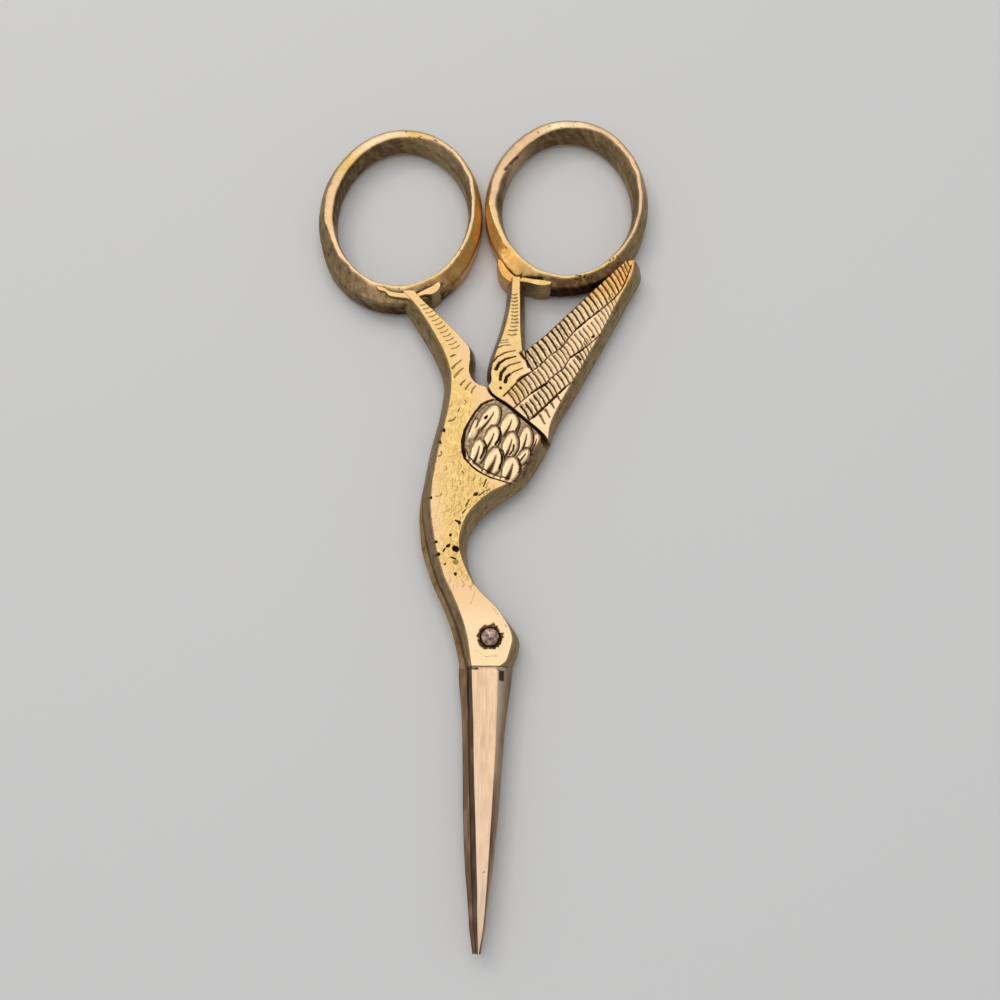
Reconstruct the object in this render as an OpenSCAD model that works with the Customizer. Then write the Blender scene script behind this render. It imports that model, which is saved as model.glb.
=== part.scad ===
// Stork embroidery scissors: two lapped halves that turn on one pivot screw.
// The origin is on the pivot's axis at the level the scissors lie on, with +Y towards the finger rings.
// Each half carries a finger ring, one of the bird's legs, a layer of its body and head, and a blade.

/* [Overall] */
// Thickness of the scissors from the back faces to the front faces
thickness = 4; // [3.2:0.1:5]
// Gap between the two halves where one lies on the other
lap_gap = 0.06; // [0.04:0.01:0.12]
// Width of the seam at which one half ends and the other comes up to the face
seam_gap = 0.24; // [0.16:0.02:0.4]

/* [Finger rings] */
// Width of a finger hole at mid thickness
hole_w = 18.8; // [16:0.2:21]
// Height of a finger hole at mid thickness
hole_h = 24.4; // [21:0.2:27]
// Width of a ring's rim
rim_w = 2.6; // [2:0.1:3.2]
// Extra width of the rims at the bird's feet
rim_low = 1; // [0:0.1:1.6]
// How far a ring's crests stay under the faces
rim_inset = 0.05; // [0.02:0.01:0.3]
// Share by which a ring is broader low down than high up
ring_egg = 0.03; // [0:0.01:0.08]
// Room between the two finger rings if both stood upright, part of which the right one's lean takes up
ring_gap = 0.36; // [0.32:0.02:0.8]
// Sideways place where the closed rings meet
meet_x = -1.1; // [-2:0.1:0]
// Height of the left ring's centre above the pivot
left_ring_y = 63.2; // [61:0.2:67]
// Height of the right ring's centre above the pivot
right_ring_y = 65; // [62:0.2:68]
// Lean of the right ring to the right in degrees
right_ring_lean = 5; // [0:1:10]

/* [Bird] */
// Height of the fork between the legs above the pivot
fork_y = 34.2; // [32:0.2:36]
// Height of the breast where the body is broadest
breast_y = 18; // [16:0.2:20]
// How far the breast stands out to the left of the pivot
breast_x = 7.85; // [7:0.05:9]
// Height of the slimmest part of the neck
neck_y = 12; // [11:0.2:13]
// Width of the neck's face
neck_w = 3.1; // [2.6:0.1:3.8]
// How far the neck's middle lies to the left of the pivot
neck_x = 5.5; // [5:0.1:6]
// Width of the head's face across the pivot
head_w = 5.7; // [5:0.1:7]
// How far the head's middle lies to the left of the pivot
head_x = 0.1; // [-0.3:0.05:0.5]
// How far the head's face reaches below the pivot
head_drop = 3.6; // [3:0.1:4.5]
// How far the right leg lies to the left of its ring's centre
leg_inset = 8.1; // [7.4:0.1:8.6]
// Width of the right leg's face where it leaves its ring
leg_w = 1.4; // [1:0.1:1.8]
// Sideways run of the walls from a face to mid thickness
flare = 1.1; // [0.6:0.05:1.4]
// Sideways offset of the back layer's neck and head from the front layer's
back_shift = 0.7; // [0:0.05:0.9]
// Length of the toes that spread along the rings
toe_l = 3.4; // [2.4:0.1:4]
// Width of a toe
toe_w = 1.1; // [0.8:0.1:1.5]

/* [Blades] */
// Reach of the blade tips below the pivot
blade_l = 36; // [30:0.5:42]
// Width of a blade at its root
blade_w = 5.3; // [4.6:0.1:6]
// Thickness of a blade at its root
blade_t = 1.5; // [1.1:0.05:1.8]
// Thickness of a blade near its tip
tip_t = 0.9; // [0.6:0.05:1.1]
// Thickness of a blade's spine
spine_t = 0.55; // [0.4:0.05:0.6]
// Sideways place of the front blade's tip
front_tip_x = -1.2; // [-2:0.1:0]
// Sideways place of the back blade's tip
back_tip_x = -1.6; // [-2.4:0.1:-0.4]

/* [Pivot] */
// Diameter of the screw's head
screw_head_d = 2.5; // [2.2:0.1:3.4]
// Depth of the seat that the screw's head lies in
screw_seat = 0.7; // [0.5:0.05:1]
// Height by which the screw's head stands above the face
screw_dome = 0.35; // [0.1:0.05:0.6]
// Diameter of the screw's shank
shank_d = 1.8; // [1.4:0.1:2]
// Clearance around the shank in the front half
shank_gap = 0.03; // [0.02:0.01:0.08]
// Clearance around and under the screw's head
head_gap = 0.06; // [0.04:0.01:0.12]
// Clearance of the thread in the back half
thread_gap = 0.015; // [0.01:0.005:0.03]
// Diameter of the screw's flat tail on the back
tail_d = 2.5; // [2.2:0.1:3]
// Depth of the tail's seat in the back half
tail_seat = 0.5; // [0.3:0.05:0.8]

/* [Engraving] */
// Depth of the engraved lines
line_depth = 0.25; // [0.15:0.05:0.5]
// Width of the engraved lines
line_w = 0.3; // [0.2:0.05:0.5]
// Spacing of the ribs along a row of wing feathers
rib_step = 1; // [0.8:0.1:2]
// Radius of the engraved round on the body
round_r = 5.8; // [5:0.1:6.2]
// Radius of a small feather's arch
arch_r = 0.95; // [0.7:0.05:1.1]

/* [Hidden] */
// Height between two sections of a limb or a blade
STEP = 1.1;
// Strips in a wall between a face and mid thickness, round a ring and round its rim
WALL_STEPS = 3;
RING_STEPS = 60;
RIM_STEPS = 12;
// Sides of a round hole, and a length that reaches past everything
ROUND = 64;
FAR = 60;
// Share by which a wall swells between a face and mid thickness
BULGE = 0.5;
// Least width of a facet at a blade's tip
LEAST = 0.02;
// Extra depth of a blade's flat side, which the lap cuts away
LAP_CUT = 0.2;
mid_z = thickness / 2;
ring_rx = (hole_w + rim_w) / 2;
ring_ry = (hole_h + rim_w) / 2;
ring_side = ring_gap / 2 + rim_w / 2 + ring_rx;
left_ring = [meet_x - ring_side, left_ring_y];
right_ring = [meet_x + ring_side, right_ring_y];
left_foot_y = left_ring_y - ring_ry;
right_foot_y = right_ring_y - ring_ry;
head_left = -head_x - head_w / 2;
head_right = -head_x + head_w / 2;
root_y = -head_drop;
neck_left = -neck_x - neck_w / 2;
neck_right = -neck_x + neck_w / 2;
leg_left = right_ring[0] - leg_inset;
leg_right = leg_left + leg_w;

// Rails of the faces, from the top down, each row with a height, a place across and the wall's sideways run
left_leg_outer = [
    [left_foot_y - 0.2, left_ring[0] + 0.7, flare],
    [left_foot_y - 2.7, left_ring[0] + 2.8, flare + 0.45],
    [fork_y + 8.5, -7.9, flare + 0.5],
    [fork_y + 4.6, -6.1, flare + 0.3],
    [fork_y + 1.1, -5.4, flare],
    [fork_y - 3.2, -5.8, flare],
    [breast_y + 7, 0.85 - breast_x, flare + 0.1],
    [breast_y, -breast_x, flare + 0.1],
    [neck_y + 0.8, neck_left - 0.15, flare + 0.1],
    [neck_y - 3.8, neck_left + 1.05, flare],
    [4, -4.15, flare],
    [1, head_left - 0.15, flare - 0.1],
    [root_y, head_left + 0.65, flare - 0.4]
];
left_leg_inner = [
    [left_foot_y - 0.2, left_ring[0] + 2.4, 0.4],
    [left_foot_y - 1.6, left_ring[0] + 3.5, 0.4],
    [left_foot_y - 4.1, left_ring[0] + 5.9, 0.4],
    [fork_y + 6.6, -3.2, 0.6],
    [fork_y + 4.8, -2.85, 0.7],
    [fork_y + 2.3, -2.9, 0.7],
    [fork_y + 0.6, -1.7, 0.6],
    [fork_y, 0.6, 0.4],
    [fork_y - 3, 5, 0.4],
    [fork_y - 6, 7.9, 0.8]
];
belly = [
    [breast_y + 9.4, 7, flare],
    [breast_y + 8, 6.2, flare + 0.4],
    [breast_y + 5.8, 4.85, flare + 0.6],
    [breast_y + 3.2, 3.7, flare + 0.2],
    [breast_y + 2.3, 2.1, flare + 1],
    [breast_y + 1.2, 0.05, flare + 1.6],
    [breast_y - 1.3, -2.6, flare + 0.9],
    [neck_y + 2, neck_right + 0.15, flare + 0.1],
    [neck_y - 0.3, neck_right, flare - 0.2],
    [neck_y - 3, neck_right + 0.8, 0.5],
    [6.4, -1.7, 0.25],
    [3.4, 1.1, 0.25],
    [0.2, head_right, flare - 0.3],
    [root_y + 1.4, head_right - 0.5, flare],
    [root_y, head_right - 1.1, flare]
];
right_leg_outer = [
    [right_foot_y + 0.2, leg_left, 0.6],
    [right_foot_y - 4, leg_left - 0.3, 0.7],
    [fork_y + 9, 1.8, 0.8],
    [fork_y + 5, 0.55, 0.8],
    [fork_y + 2.5, 0, 0.6],
    [fork_y + 0.9, 0, 0.4],
    [fork_y, -0.9, 0.3],
    [fork_y - 2.8, -4.4, 0.4],
    [fork_y - 5, -6.5, 0.9]
];
right_leg_inner = [
    [right_foot_y + 0.2, leg_right, 0.3],
    [right_foot_y - 4, leg_right, 0.4],
    [fork_y + 9, 4.35, 0.4],
    [fork_y + 6, 4.5, 0.3],
    [fork_y + 3, 5.4, 0.3],
    [fork_y - 1, 6.9, 0.3],
    [fork_y - 4.5, 7.9, 0.6]
];
wing_inner = [
    [right_foot_y + 2.9, right_ring[0] + 8.1, 0.4],
    [right_foot_y - 0.7, right_ring[0] + 4.6, 0.6],
    [fork_y + 13.8, 12.9, 0.7],
    [fork_y + 8.5, 7.8, 0.7],
    [fork_y + 5.6, 4.7, 0.5],
    [fork_y + 3, 3.6, 0.2],
    [fork_y - 3, 5.2, 0.2],
    [fork_y - 8.2, 7.3, 0.2]
];
wing_outer = [
    [right_foot_y + 2.9, right_ring[0] + 9.3, flare - 0.1],
    [right_foot_y + 0.6, right_ring[0] + 8.9, flare + 0.3],
    [fork_y + 14.6, 18.3, flare + 0.25],
    [fork_y + 10.4, 16.2, flare + 0.15],
    [fork_y + 4.4, 13, flare + 0.15],
    [fork_y - 1.2, 9.9, flare + 0.15],
    [fork_y - 5, 8.1, flare - 0.2],
    [fork_y - 8.2, 7.5, 0.3]
];

// Seams from the fork to the body's edge, on the front and on the back
front_seam = [
    [-0.9, fork_y + 1.2],
    [-0.45, fork_y + 0.1],
    [0.3, fork_y - 1.1],
    [2, fork_y - 2.3],
    [3.5, fork_y - 3.6],
    [5, fork_y - 5],
    [6.5, fork_y - 6.4],
    [7.3, fork_y - 7.4],
    [7.8, fork_y - 8.4],
    [8.3, fork_y - 10.2],
    [14, fork_y - 13]
];
back_seam = [
    [-0.9, fork_y + 1.2],
    [-0.45, fork_y + 0.1],
    [-1.3, fork_y - 1],
    [-2.9, fork_y - 2.3],
    [-4.4, fork_y - 3.6],
    [-5.8, fork_y - 5],
    [-7.2, fork_y - 6.2],
    [-14, fork_y - 8]
];

// Blade sections from the root down: height, half width at the spine, facet's edge, half width at the edge
function blade_rows() = [
    [root_y + 1.2, blade_w * 0.6, 1.5, blade_w * 0.4],
    [root_y - 0.8, blade_w * 0.61, 1.45, blade_w * 0.4],
    [-blade_l * 0.28, blade_w * 0.485, 1.45, blade_w * 0.335],
    [-blade_l * 0.45, blade_w * 0.41, 1.3, blade_w * 0.28],
    [-blade_l * 0.62, blade_w * 0.35, 1.05, blade_w * 0.21],
    [-blade_l * 0.78, blade_w * 0.28, 0.8, blade_w * 0.145],
    [-blade_l * 0.92, blade_w * 0.165, 0.5, blade_w * 0.08],
    [-blade_l, 0.12, 0.06, 0.08]
];

// Value of a smooth curve through the rows at a height, as a row
function tangent(rows, i) =
    let (a = rows[max(i - 1, 0)], b = rows[min(i + 1, len(rows) - 1)])
    (b - a) / (b[0] - a[0]);
function segment(rows, y, i = 0) =
    i >= len(rows) - 2 || rows[i + 1][0] <= y ? i : segment(rows, y, i + 1);
function on_rail(rows, y) =
    let (
        i = segment(rows, y),
        p = rows[i],
        q = rows[i + 1],
        h = q[0] - p[0],
        t = (y - p[0]) / h
    )
    p * (1 - t) * (1 - t) * (1 + 2 * t) + q * t * t * (3 - 2 * t)
    + tangent(rows, i) * h * t * (1 - t) * (1 - t) - tangent(rows, i + 1) * h * t * t * (1 - t);
// Heights from the first to the last, about STEP apart
function heights(top, bottom) =
    let (n = ceil((top - bottom) / STEP))
    [for (i = [0:n]) top + (bottom - top) * i / n];

// Outward run of a wall between a face, at s = 0, and mid thickness, at s = 1
function wall_run(s) = (1 + BULGE) * s - BULGE * s * s;

// One wall's points at a height, from the front face down to the back face
function wall(rows, side, y, shift, t) =
    let (row = on_rail(rows, y), run = side * row[2])
    [for (k = [-WALL_STEPS:WALL_STEPS])
        [row[1] + shift + run * wall_run(1 - abs(k) / WALL_STEPS), y, mid_z - k * t / 2 / WALL_STEPS]];

function reversed(list) = [for (i = [len(list) - 1:-1:0]) list[i]];

// Shift of the back layer to the left at a height, none above the breast
function layer_shift(amount, y) =
    -amount * min(1, max(0, (breast_y + 3 - y) / 9));

// Sections joined into one closed solid
module loft(sections) {
    n = len(sections[0]);
    last = len(sections) - 1;
    points = [for (s = sections) each s];
    sides = [for (i = [0:last - 1], j = [0:n - 1])
        let (k = (j + 1) % n, a = i * n, b = a + n)
        each [[a + j, b + j, a + k], [a + k, b + j, b + k]]];
    top = [for (j = [1:n - 2]) [0, j, j + 1]];
    foot = [for (j = [1:n - 2]) [last * n, last * n + j + 1, last * n + j]];
    polyhedron(points, concat(sides, top, foot), convexity = 6);
}

// Limb between two rails, with sloping walls on both sides
module limb(left_rail, right_rail, amount = 0, t = thickness) {
    top = min(left_rail[0][0], right_rail[0][0]);
    bottom = max(left_rail[len(left_rail) - 1][0], right_rail[len(right_rail) - 1][0]);
    loft([for (y = heights(top, bottom))
        let (shift = layer_shift(amount, y))
        concat(wall(left_rail, -1, y, shift, t), reversed(wall(right_rail, 1, y, shift, t)))]);
}

// Finger ring with an oval rim, swept round an egg-shaped line
module finger_ring(centre, lean) {
    rim_h = mid_z - rim_inset;
    translate([centre[0], centre[1], mid_z])
        rotate(-lean) {
            points = [for (i = [0:RING_STEPS - 1], k = [0:RIM_STEPS - 1])
                let (
                    a = 360 * i / RING_STEPS,
                    b = 360 * k / RIM_STEPS,
                    grow = 1 - ring_egg * sin(a),
                    low = rim_low * pow(max(0, -sin(a + 15)), 2),
                    outward = [cos(a) * ring_ry, sin(a) * ring_rx],
                    normal = outward / norm(outward),
                    out = (rim_w / 2 + (cos(b) > 0 ? low : 0)) * cos(b)
                )
                concat([ring_rx * grow * cos(a), ring_ry * sin(a)] + normal * out, [rim_h * sin(b)])];
            faces = [for (i = [0:RING_STEPS - 1], k = [0:RIM_STEPS - 1])
                let (
                    a = i * RIM_STEPS,
                    b = (i + 1) % RING_STEPS * RIM_STEPS,
                    m = (k + 1) % RIM_STEPS
                )
                each [[a + k, a + m, b + k], [a + m, b + m, b + k]]];
            polyhedron(points, faces, convexity = 6);
        }
}

// Toe that lies along a ring, from the leg outwards
module toe(from, turn, length) {
    translate([from[0], from[1], thickness * 0.1])
        rotate(turn)
            linear_extrude(height = thickness * 0.82)
                polygon([[-toe_w, -toe_w * 0.45], [length * 0.85, -toe_w * 0.35], [length, 0],
                    [length * 0.9, toe_w], [-toe_w, toe_w]]);
}

// Blade along a line from its root to its tip; side is 1 on the front half and -1 on the back half
module blade(root_x, tip_x, side) {
    rows = blade_rows();
    loft([for (y = heights(rows[0][0], -blade_l))
        let (
            row = on_rail(rows, y),
            down = (root_y - y) / (blade_l - head_drop),
            axis = root_x + (tip_x - root_x) * down,
            top = lap_gap / 2 + blade_t + (tip_t - blade_t) * max(0, down),
            spine = lap_gap / 2 + min(spine_t, top - 0.1),
            edge = row[3],
            bevel = min(0.35, edge * 0.5),
            facet = max(row[2], bevel - edge + LEAST),
            back = max(row[1], row[2] + LEAST),
            outline = [[-edge, -LAP_CUT], [-edge, lap_gap / 2], [-edge + bevel, top], [facet, top],
                [back, spine], [back, -LAP_CUT]]
        )
        [for (p = side * reversed(outline)) [axis + p[0], y, mid_z + p[1]]]]);
}

// Everything on the far side of a seam, as a flat plate between two heights
module region(seam, offset, corners, z0, z1) {
    translate([0, 0, z0])
        linear_extrude(height = z1 - z0)
            polygon(concat([for (p = seam) p + offset], corners));
}

// Straight engraved line, narrower at its far end
module line(from, to) {
    run = to - from;
    translate([from[0], from[1], thickness - line_depth])
        rotate(atan2(run[1], run[0]))
            linear_extrude(height = line_depth * 2)
                polygon([[0, -line_w / 2], [norm(run), -line_w / 4],
                    [norm(run), line_w / 4], [0, line_w / 2]]);
}

// Ribs that slant away from a row's line
module ribs(from, to, length) {
    run = to - from;
    count = floor(norm(run) / rib_step);
    for (i = [0:count - 1]) {
        base = from + run * (i + 0.7) / count + [-0.2, 0.4];
        line(base, base + [-0.55, 0.83] * length);
    }
}

// Rows of wing feathers, each a line with its ribs
module wing_engraving() {
    rows = [
        [[3.75, fork_y + 1.3], [16.6, fork_y + 13.6], 2],
        [[4.4, fork_y - 2], [15.2, fork_y + 8.4], 1.7],
        [[6, fork_y - 4], [11.3, fork_y + 1.2], 1.5]
    ];
    for (r = rows) {
        line(r[0], r[1]);
        ribs(r[0], r[1], r[2]);
    }
}

// Open arch of a small feather
module arch(place) {
    translate([place[0], place[1], thickness - line_depth])
        difference() {
            cylinder(r = arch_r, h = line_depth * 2, $fn = 24);
            cylinder(r = arch_r - line_w, h = line_depth * 2, $fn = 24);
            translate([-FAR, -2 * FAR, 0])
                cube([2 * FAR, 2 * FAR, line_depth * 2]);
        }
}

// Engraved round on the body with rows of small feathers in it
module body_engraving() {
    centre = [1.9, breast_y + 8.6];
    pitch = 2 * arch_r + line_w;
    translate([centre[0], centre[1], thickness - line_depth])
        difference() {
            cylinder(r = round_r, h = line_depth * 2, $fn = ROUND);
            cylinder(r = round_r - line_w, h = line_depth * 2, $fn = ROUND);
        }
    for (row = [0:3], i = [0:2]) {
        place = centre + [(i - 1.45 + row % 2 / 2) * pitch, 2.6 - row * 2];
        if (norm(place - centre) < round_r - arch_r - line_w)
            arch(place);
    }
}

// Front half: left ring, left leg, front layer of the body and head, and the front blade
module front_half() {
    corner = [-0.2, fork_y + 1.4];
    color("goldenrod")
        difference() {
            union() {
                finger_ring(left_ring, 0);
                limb(left_leg_outer, concat(left_leg_inner, belly));
                toe([left_ring[0] + 4, left_foot_y - 1.2], 14, toe_l);
                blade(-0.45, front_tip_x, 1);
            }
            region(back_seam, [-seam_gap, seam_gap] / 2,
                [[-FAR, -FAR], [FAR, -FAR], [FAR, corner[1]], corner], -1, mid_z + lap_gap / 2);
            region(front_seam, [-seam_gap, -seam_gap] / 2,
                [[FAR, fork_y - 13], [FAR, corner[1]], corner], mid_z, thickness + 1);
            translate([0, 0, mid_z])
                cylinder(d = shank_d + 2 * shank_gap, h = thickness, $fn = ROUND);
            translate([0, 0, thickness - screw_seat - head_gap])
                cylinder(d = screw_head_d + 2 * head_gap, h = thickness, $fn = ROUND);
            body_engraving();
        }
}

// Back half: right ring, right leg, wing, back layer of the body and head, and the back blade
module back_half() {
    color("darkgoldenrod")
        difference() {
            union() {
                finger_ring(right_ring, right_ring_lean);
                limb(concat(right_leg_outer, [for (r = left_leg_outer) if (r[0] < fork_y - 6) r]),
                    concat(right_leg_inner, [for (r = belly) if (r[0] < fork_y - 8) r]), back_shift);
                limb(wing_inner, wing_outer, 0, thickness - 2 * rim_inset);
                toe([leg_right + 0.3, right_foot_y - 0.6], -4, toe_l);
                toe([leg_left + 0.2, right_foot_y - 0.9], 118, toe_l * 0.7);
                blade(-0.95, back_tip_x, -1);
            }
            region(front_seam, [seam_gap, seam_gap] / 2,
                [[FAR, fork_y - 13], [FAR, -FAR], [-FAR, -FAR], [-FAR, fork_y + 1.2]],
                mid_z - lap_gap / 2, thickness + 1);
            region(back_seam, [seam_gap, -seam_gap] / 2,
                [[-FAR, fork_y - 8], [-FAR, fork_y + 1.2]], -1, mid_z);
            translate([0, 0, -1])
                cylinder(d = shank_d + 2 * thread_gap, h = thickness, $fn = ROUND);
            translate([0, 0, -1])
                cylinder(d = tail_d + 2 * thread_gap, h = 1 + tail_seat, $fn = ROUND);
            wing_engraving();
        }
}

// Pivot screw with a domed head on the front and a tail spread into the back half
module pivot_screw() {
    r = shank_d / 2;
    head_r = screw_head_d / 2;
    seat_z = thickness - screw_seat;
    color("dimgray")
        rotate_extrude($fn = ROUND)
            polygon(concat(
                [[0, 0], [tail_d / 2, 0], [tail_d / 2, tail_seat - thread_gap],
                    [r, tail_seat - thread_gap], [r, seat_z], [head_r, seat_z], [head_r, thickness]],
                [for (a = [15:15:75]) [head_r * cos(a), thickness + screw_dome * sin(a)]],
                [[0, thickness + screw_dome]]));
}

front_half();
back_half();
pivot_screw();
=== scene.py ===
import math

import bpy
import numpy as np
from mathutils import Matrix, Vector
from mathutils.geometry import delaunay_2d_cdt


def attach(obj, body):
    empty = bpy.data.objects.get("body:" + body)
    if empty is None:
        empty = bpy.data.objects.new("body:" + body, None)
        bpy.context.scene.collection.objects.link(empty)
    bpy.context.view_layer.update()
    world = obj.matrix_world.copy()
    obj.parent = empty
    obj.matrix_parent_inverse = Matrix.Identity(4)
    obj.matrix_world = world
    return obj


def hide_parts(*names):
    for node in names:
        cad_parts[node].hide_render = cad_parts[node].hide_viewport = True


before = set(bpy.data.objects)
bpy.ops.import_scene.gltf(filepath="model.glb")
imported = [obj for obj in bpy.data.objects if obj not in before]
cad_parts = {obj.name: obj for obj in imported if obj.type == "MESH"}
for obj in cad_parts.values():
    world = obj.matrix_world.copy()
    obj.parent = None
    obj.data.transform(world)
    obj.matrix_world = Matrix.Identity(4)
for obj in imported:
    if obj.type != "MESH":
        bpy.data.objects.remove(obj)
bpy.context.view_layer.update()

# Lengths below are in millimetres, in the part's own frame: the pivot on the Z axis, +Y towards the rings.
MM = 0.001

# Sizes of the part
THICK = 4.0
MID = THICK / 2
LAP_GAP = 0.06
SEAM_GAP = 0.24
HOLE_W, HOLE_H = 18.8, 24.4
RIM_W, RIM_INSET, RING_EGG = 2.6, 0.05, 0.03
RING_RX, RING_RY = (HOLE_W + RIM_W) / 2, (HOLE_H + RIM_W) / 2
MEET_X, RING_GAP = -1.1, 0.36
RING_SIDE = RING_GAP / 2 + RIM_W / 2 + RING_RX
LEFT_RING = (MEET_X - RING_SIDE, 63.2)
RIGHT_RING = (MEET_X + RING_SIDE, 65.0)
RIGHT_LEAN = 5.0
LEFT_FOOT_Y = LEFT_RING[1] - RING_RY
RIGHT_FOOT_Y = RIGHT_RING[1] - RING_RY
FORK_Y, BREAST_Y, NECK_Y = 34.2, 18.0, 12.0
BREAST_X = 7.85
NECK_LEFT, NECK_RIGHT = -5.5 - 1.55, -5.5 + 1.55
HEAD_LEFT, HEAD_RIGHT = -0.1 - 2.85, -0.1 + 2.85
ROOT_Y = -3.6
LEG_LEFT = RIGHT_RING[0] - 8.1
LEG_RIGHT = LEG_LEFT + 1.4
FLARE = 1.1
BACK_SHIFT = 0.7
BLADE_L, BLADE_W, BLADE_T, TIP_T, SPINE_T = 36.0, 5.3, 1.5, 0.9, 0.55
TOE_DROP, TOE_SPREAD = 0.15, 0.12
FRONT_ROOT_X, FRONT_TIP_X = -0.45, -1.2
BACK_ROOT_X, BACK_TIP_X = -0.95, -1.6
SCREW_R, SCREW_SEAT, SCREW_DOME = 1.25, 0.7, 0.35
SHANK_R, TAIL_R, TAIL_SEAT = 0.9, 1.25, 0.5

# Play round the screw: under and beside its head, beside its shank in each half
SEAT_ROOM, FRONT_ROOM, BACK_ROOM = 0.06, 0.03, 0.015

# Heights where the edges of the layers start or meet
LEFT_TOP, RIGHT_TOP, WING_TOP = LEFT_FOOT_Y - 0.2, RIGHT_FOOT_Y + 0.2, RIGHT_FOOT_Y + 2.9
CROTCH_Y, BELLY_TOP = FORK_Y + 5.8, BREAST_Y + 9.4

# Fineness of the meshes
EDGE_STEP, FACE_STEP, BACK_STEP = 0.1, 0.08, 0.14
DENSE_STEP, BLADE_STEP = 0.02, 0.13
RIM_STATIONS, HOLE_SIDES, SCREW_SIDES, BEND_POINTS, WALL_ROWS, CURVE_POINTS = 620, 72, 96, 4, 9, 12
NOISE_CELLS = 64
SHARP_ANGLE = 38

# Rounded edge of a layer, and how far its walls swell out of a straight slope
ROUNDING, WALL_SWELL = 0.14, 0.5


def rail(*groups):
    """Rows of height, place across and sideways run of the wall; each group has a start for all three."""
    return [(y + dy, x + dx, run + more) for y, x, run, rows in groups for dy, dx, more in rows]


# Rails: the edges of the faces, from the top down
LEFT_LEG_OUTER = rail(
    (LEFT_FOOT_Y, LEFT_RING[0], FLARE, [(-0.2, 0.7, 0), (-2.7, 2.8, 0.45)]),
    (FORK_Y, 0, FLARE, [(8.5, -7.9, 0.5), (4.6, -6.1, 0.3), (1.1, -5.4, 0), (-3.2, -5.8, 0)]),
    (BREAST_Y, -BREAST_X, FLARE, [(7, 0.85, 0.1), (0, 0, 0.1)]),
    (NECK_Y, NECK_LEFT, FLARE, [(0.8, -0.15, 0.1), (-3.8, 1.05, 0)]), (0, 0, FLARE, [(4, -4.15, 0)]),
    (0, HEAD_LEFT, FLARE, [(1, -0.15, -0.1), (ROOT_Y, 0.65, -0.4)]))
LEFT_LEG_INNER = rail(
    (LEFT_FOOT_Y, LEFT_RING[0], 0.4, [(-0.2, 2.4, 0), (-1.6, 3.5, 0), (-4.1, 5.9, 0)]),
    (FORK_Y, 0, 0, [(6.6, -3.2, 0.6), (4.8, -2.85, 0.7), (2.3, -2.9, 0.7), (0.6, -1.7, 0.6), (0, 0.6, 0.4)]))
BELLY = rail(
    (BREAST_Y, 0, FLARE, [(9.4, 7, 0), (8, 6.2, 0.4), (5.8, 4.85, 0.6), (3.2, 3.7, 0.2), (2.3, 2.1, 1),
                          (1.2, 0.05, 1.6), (-1.3, -2.6, 0.9)]),
    (NECK_Y, NECK_RIGHT, FLARE, [(2, 0.15, 0.1), (-0.3, 0, -0.2)]), (NECK_Y, NECK_RIGHT, 0, [(-3, 0.8, 0.5)]),
    (0, 0, 0.25, [(6.4, -1.7, 0), (3.4, 1.1, 0)]), (0, HEAD_RIGHT, FLARE, [(0.2, 0, -0.3)]),
    (ROOT_Y, HEAD_RIGHT, FLARE, [(1.4, -0.45, 0), (0.5, -0.85, 0), (0, -1.5, 0.4)]))
RIGHT_LEG_OUTER = rail(
    (RIGHT_FOOT_Y, LEG_LEFT, 0, [(0.2, 0, 0.6), (-4, -0.3, 0.7)]),
    (FORK_Y, 0, 0, [(9, 1.8, 0.8), (5, 0.55, 0.8), (2.5, 0, 0.6), (0.9, 0, 0.4), (0, -0.9, 0.3)]))
RIGHT_LEG_INNER = rail(
    (RIGHT_FOOT_Y, LEG_RIGHT, 0, [(0.2, -0.3, 0.6), (-4, -0.3, 0.7)]),
    (FORK_Y, 0, 0, [(9, 4.1, 0.65), (5.8, 4.3, 0.45)]))
WING_INNER = rail(
    (RIGHT_FOOT_Y, RIGHT_RING[0], 0, [(2.9, 8.1, 0.4), (-0.7, 4.6, 0.6)]),
    (FORK_Y, 0, 0, [(13.8, 12.9, 0.7), (8.5, 7.8, 0.7), (5.8, 4.75, 0.4)]))
WING_OUTER = rail(
    (RIGHT_FOOT_Y, RIGHT_RING[0], FLARE, [(2.9, 9.3, -0.1), (0.6, 8.9, 0.3)]),
    (FORK_Y, 0, FLARE, [(14.6, 18.3, 0.25), (10.4, 16.2, 0.15), (4.4, 13, 0.15), (-1.2, 9.9, 0.15),
                        (-5, 8.1, -0.2)]), (FORK_Y, 0, 0, [(-8.2, 7.5, 0.3)]))

# Seams between the halves, from the fork: height and place across
FRONT_SEAM = [(FORK_Y + y, x) for y, x in (
    (1.2, -0.9), (0.1, -0.45), (-1.1, 0.3), (-2.3, 2), (-3.6, 3.5), (-5, 5), (-6.4, 6.5), (-7.4, 7.3),
    (-8.4, 7.8), (-10.2, 8.3))]
BACK_SEAM = [(FORK_Y + y, x) for y, x in (
    (1.2, -0.9), (0.1, -0.45), (-1, -1.3), (-2.3, -2.9), (-3.6, -4.4), (-5, -5.8), (-6.2, -7.2),
    (-7.2, -9.4))]


# Curves

def unit(value):
    """The value, kept between 0 and 1."""
    return np.clip(value, 0, 1)


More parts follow.
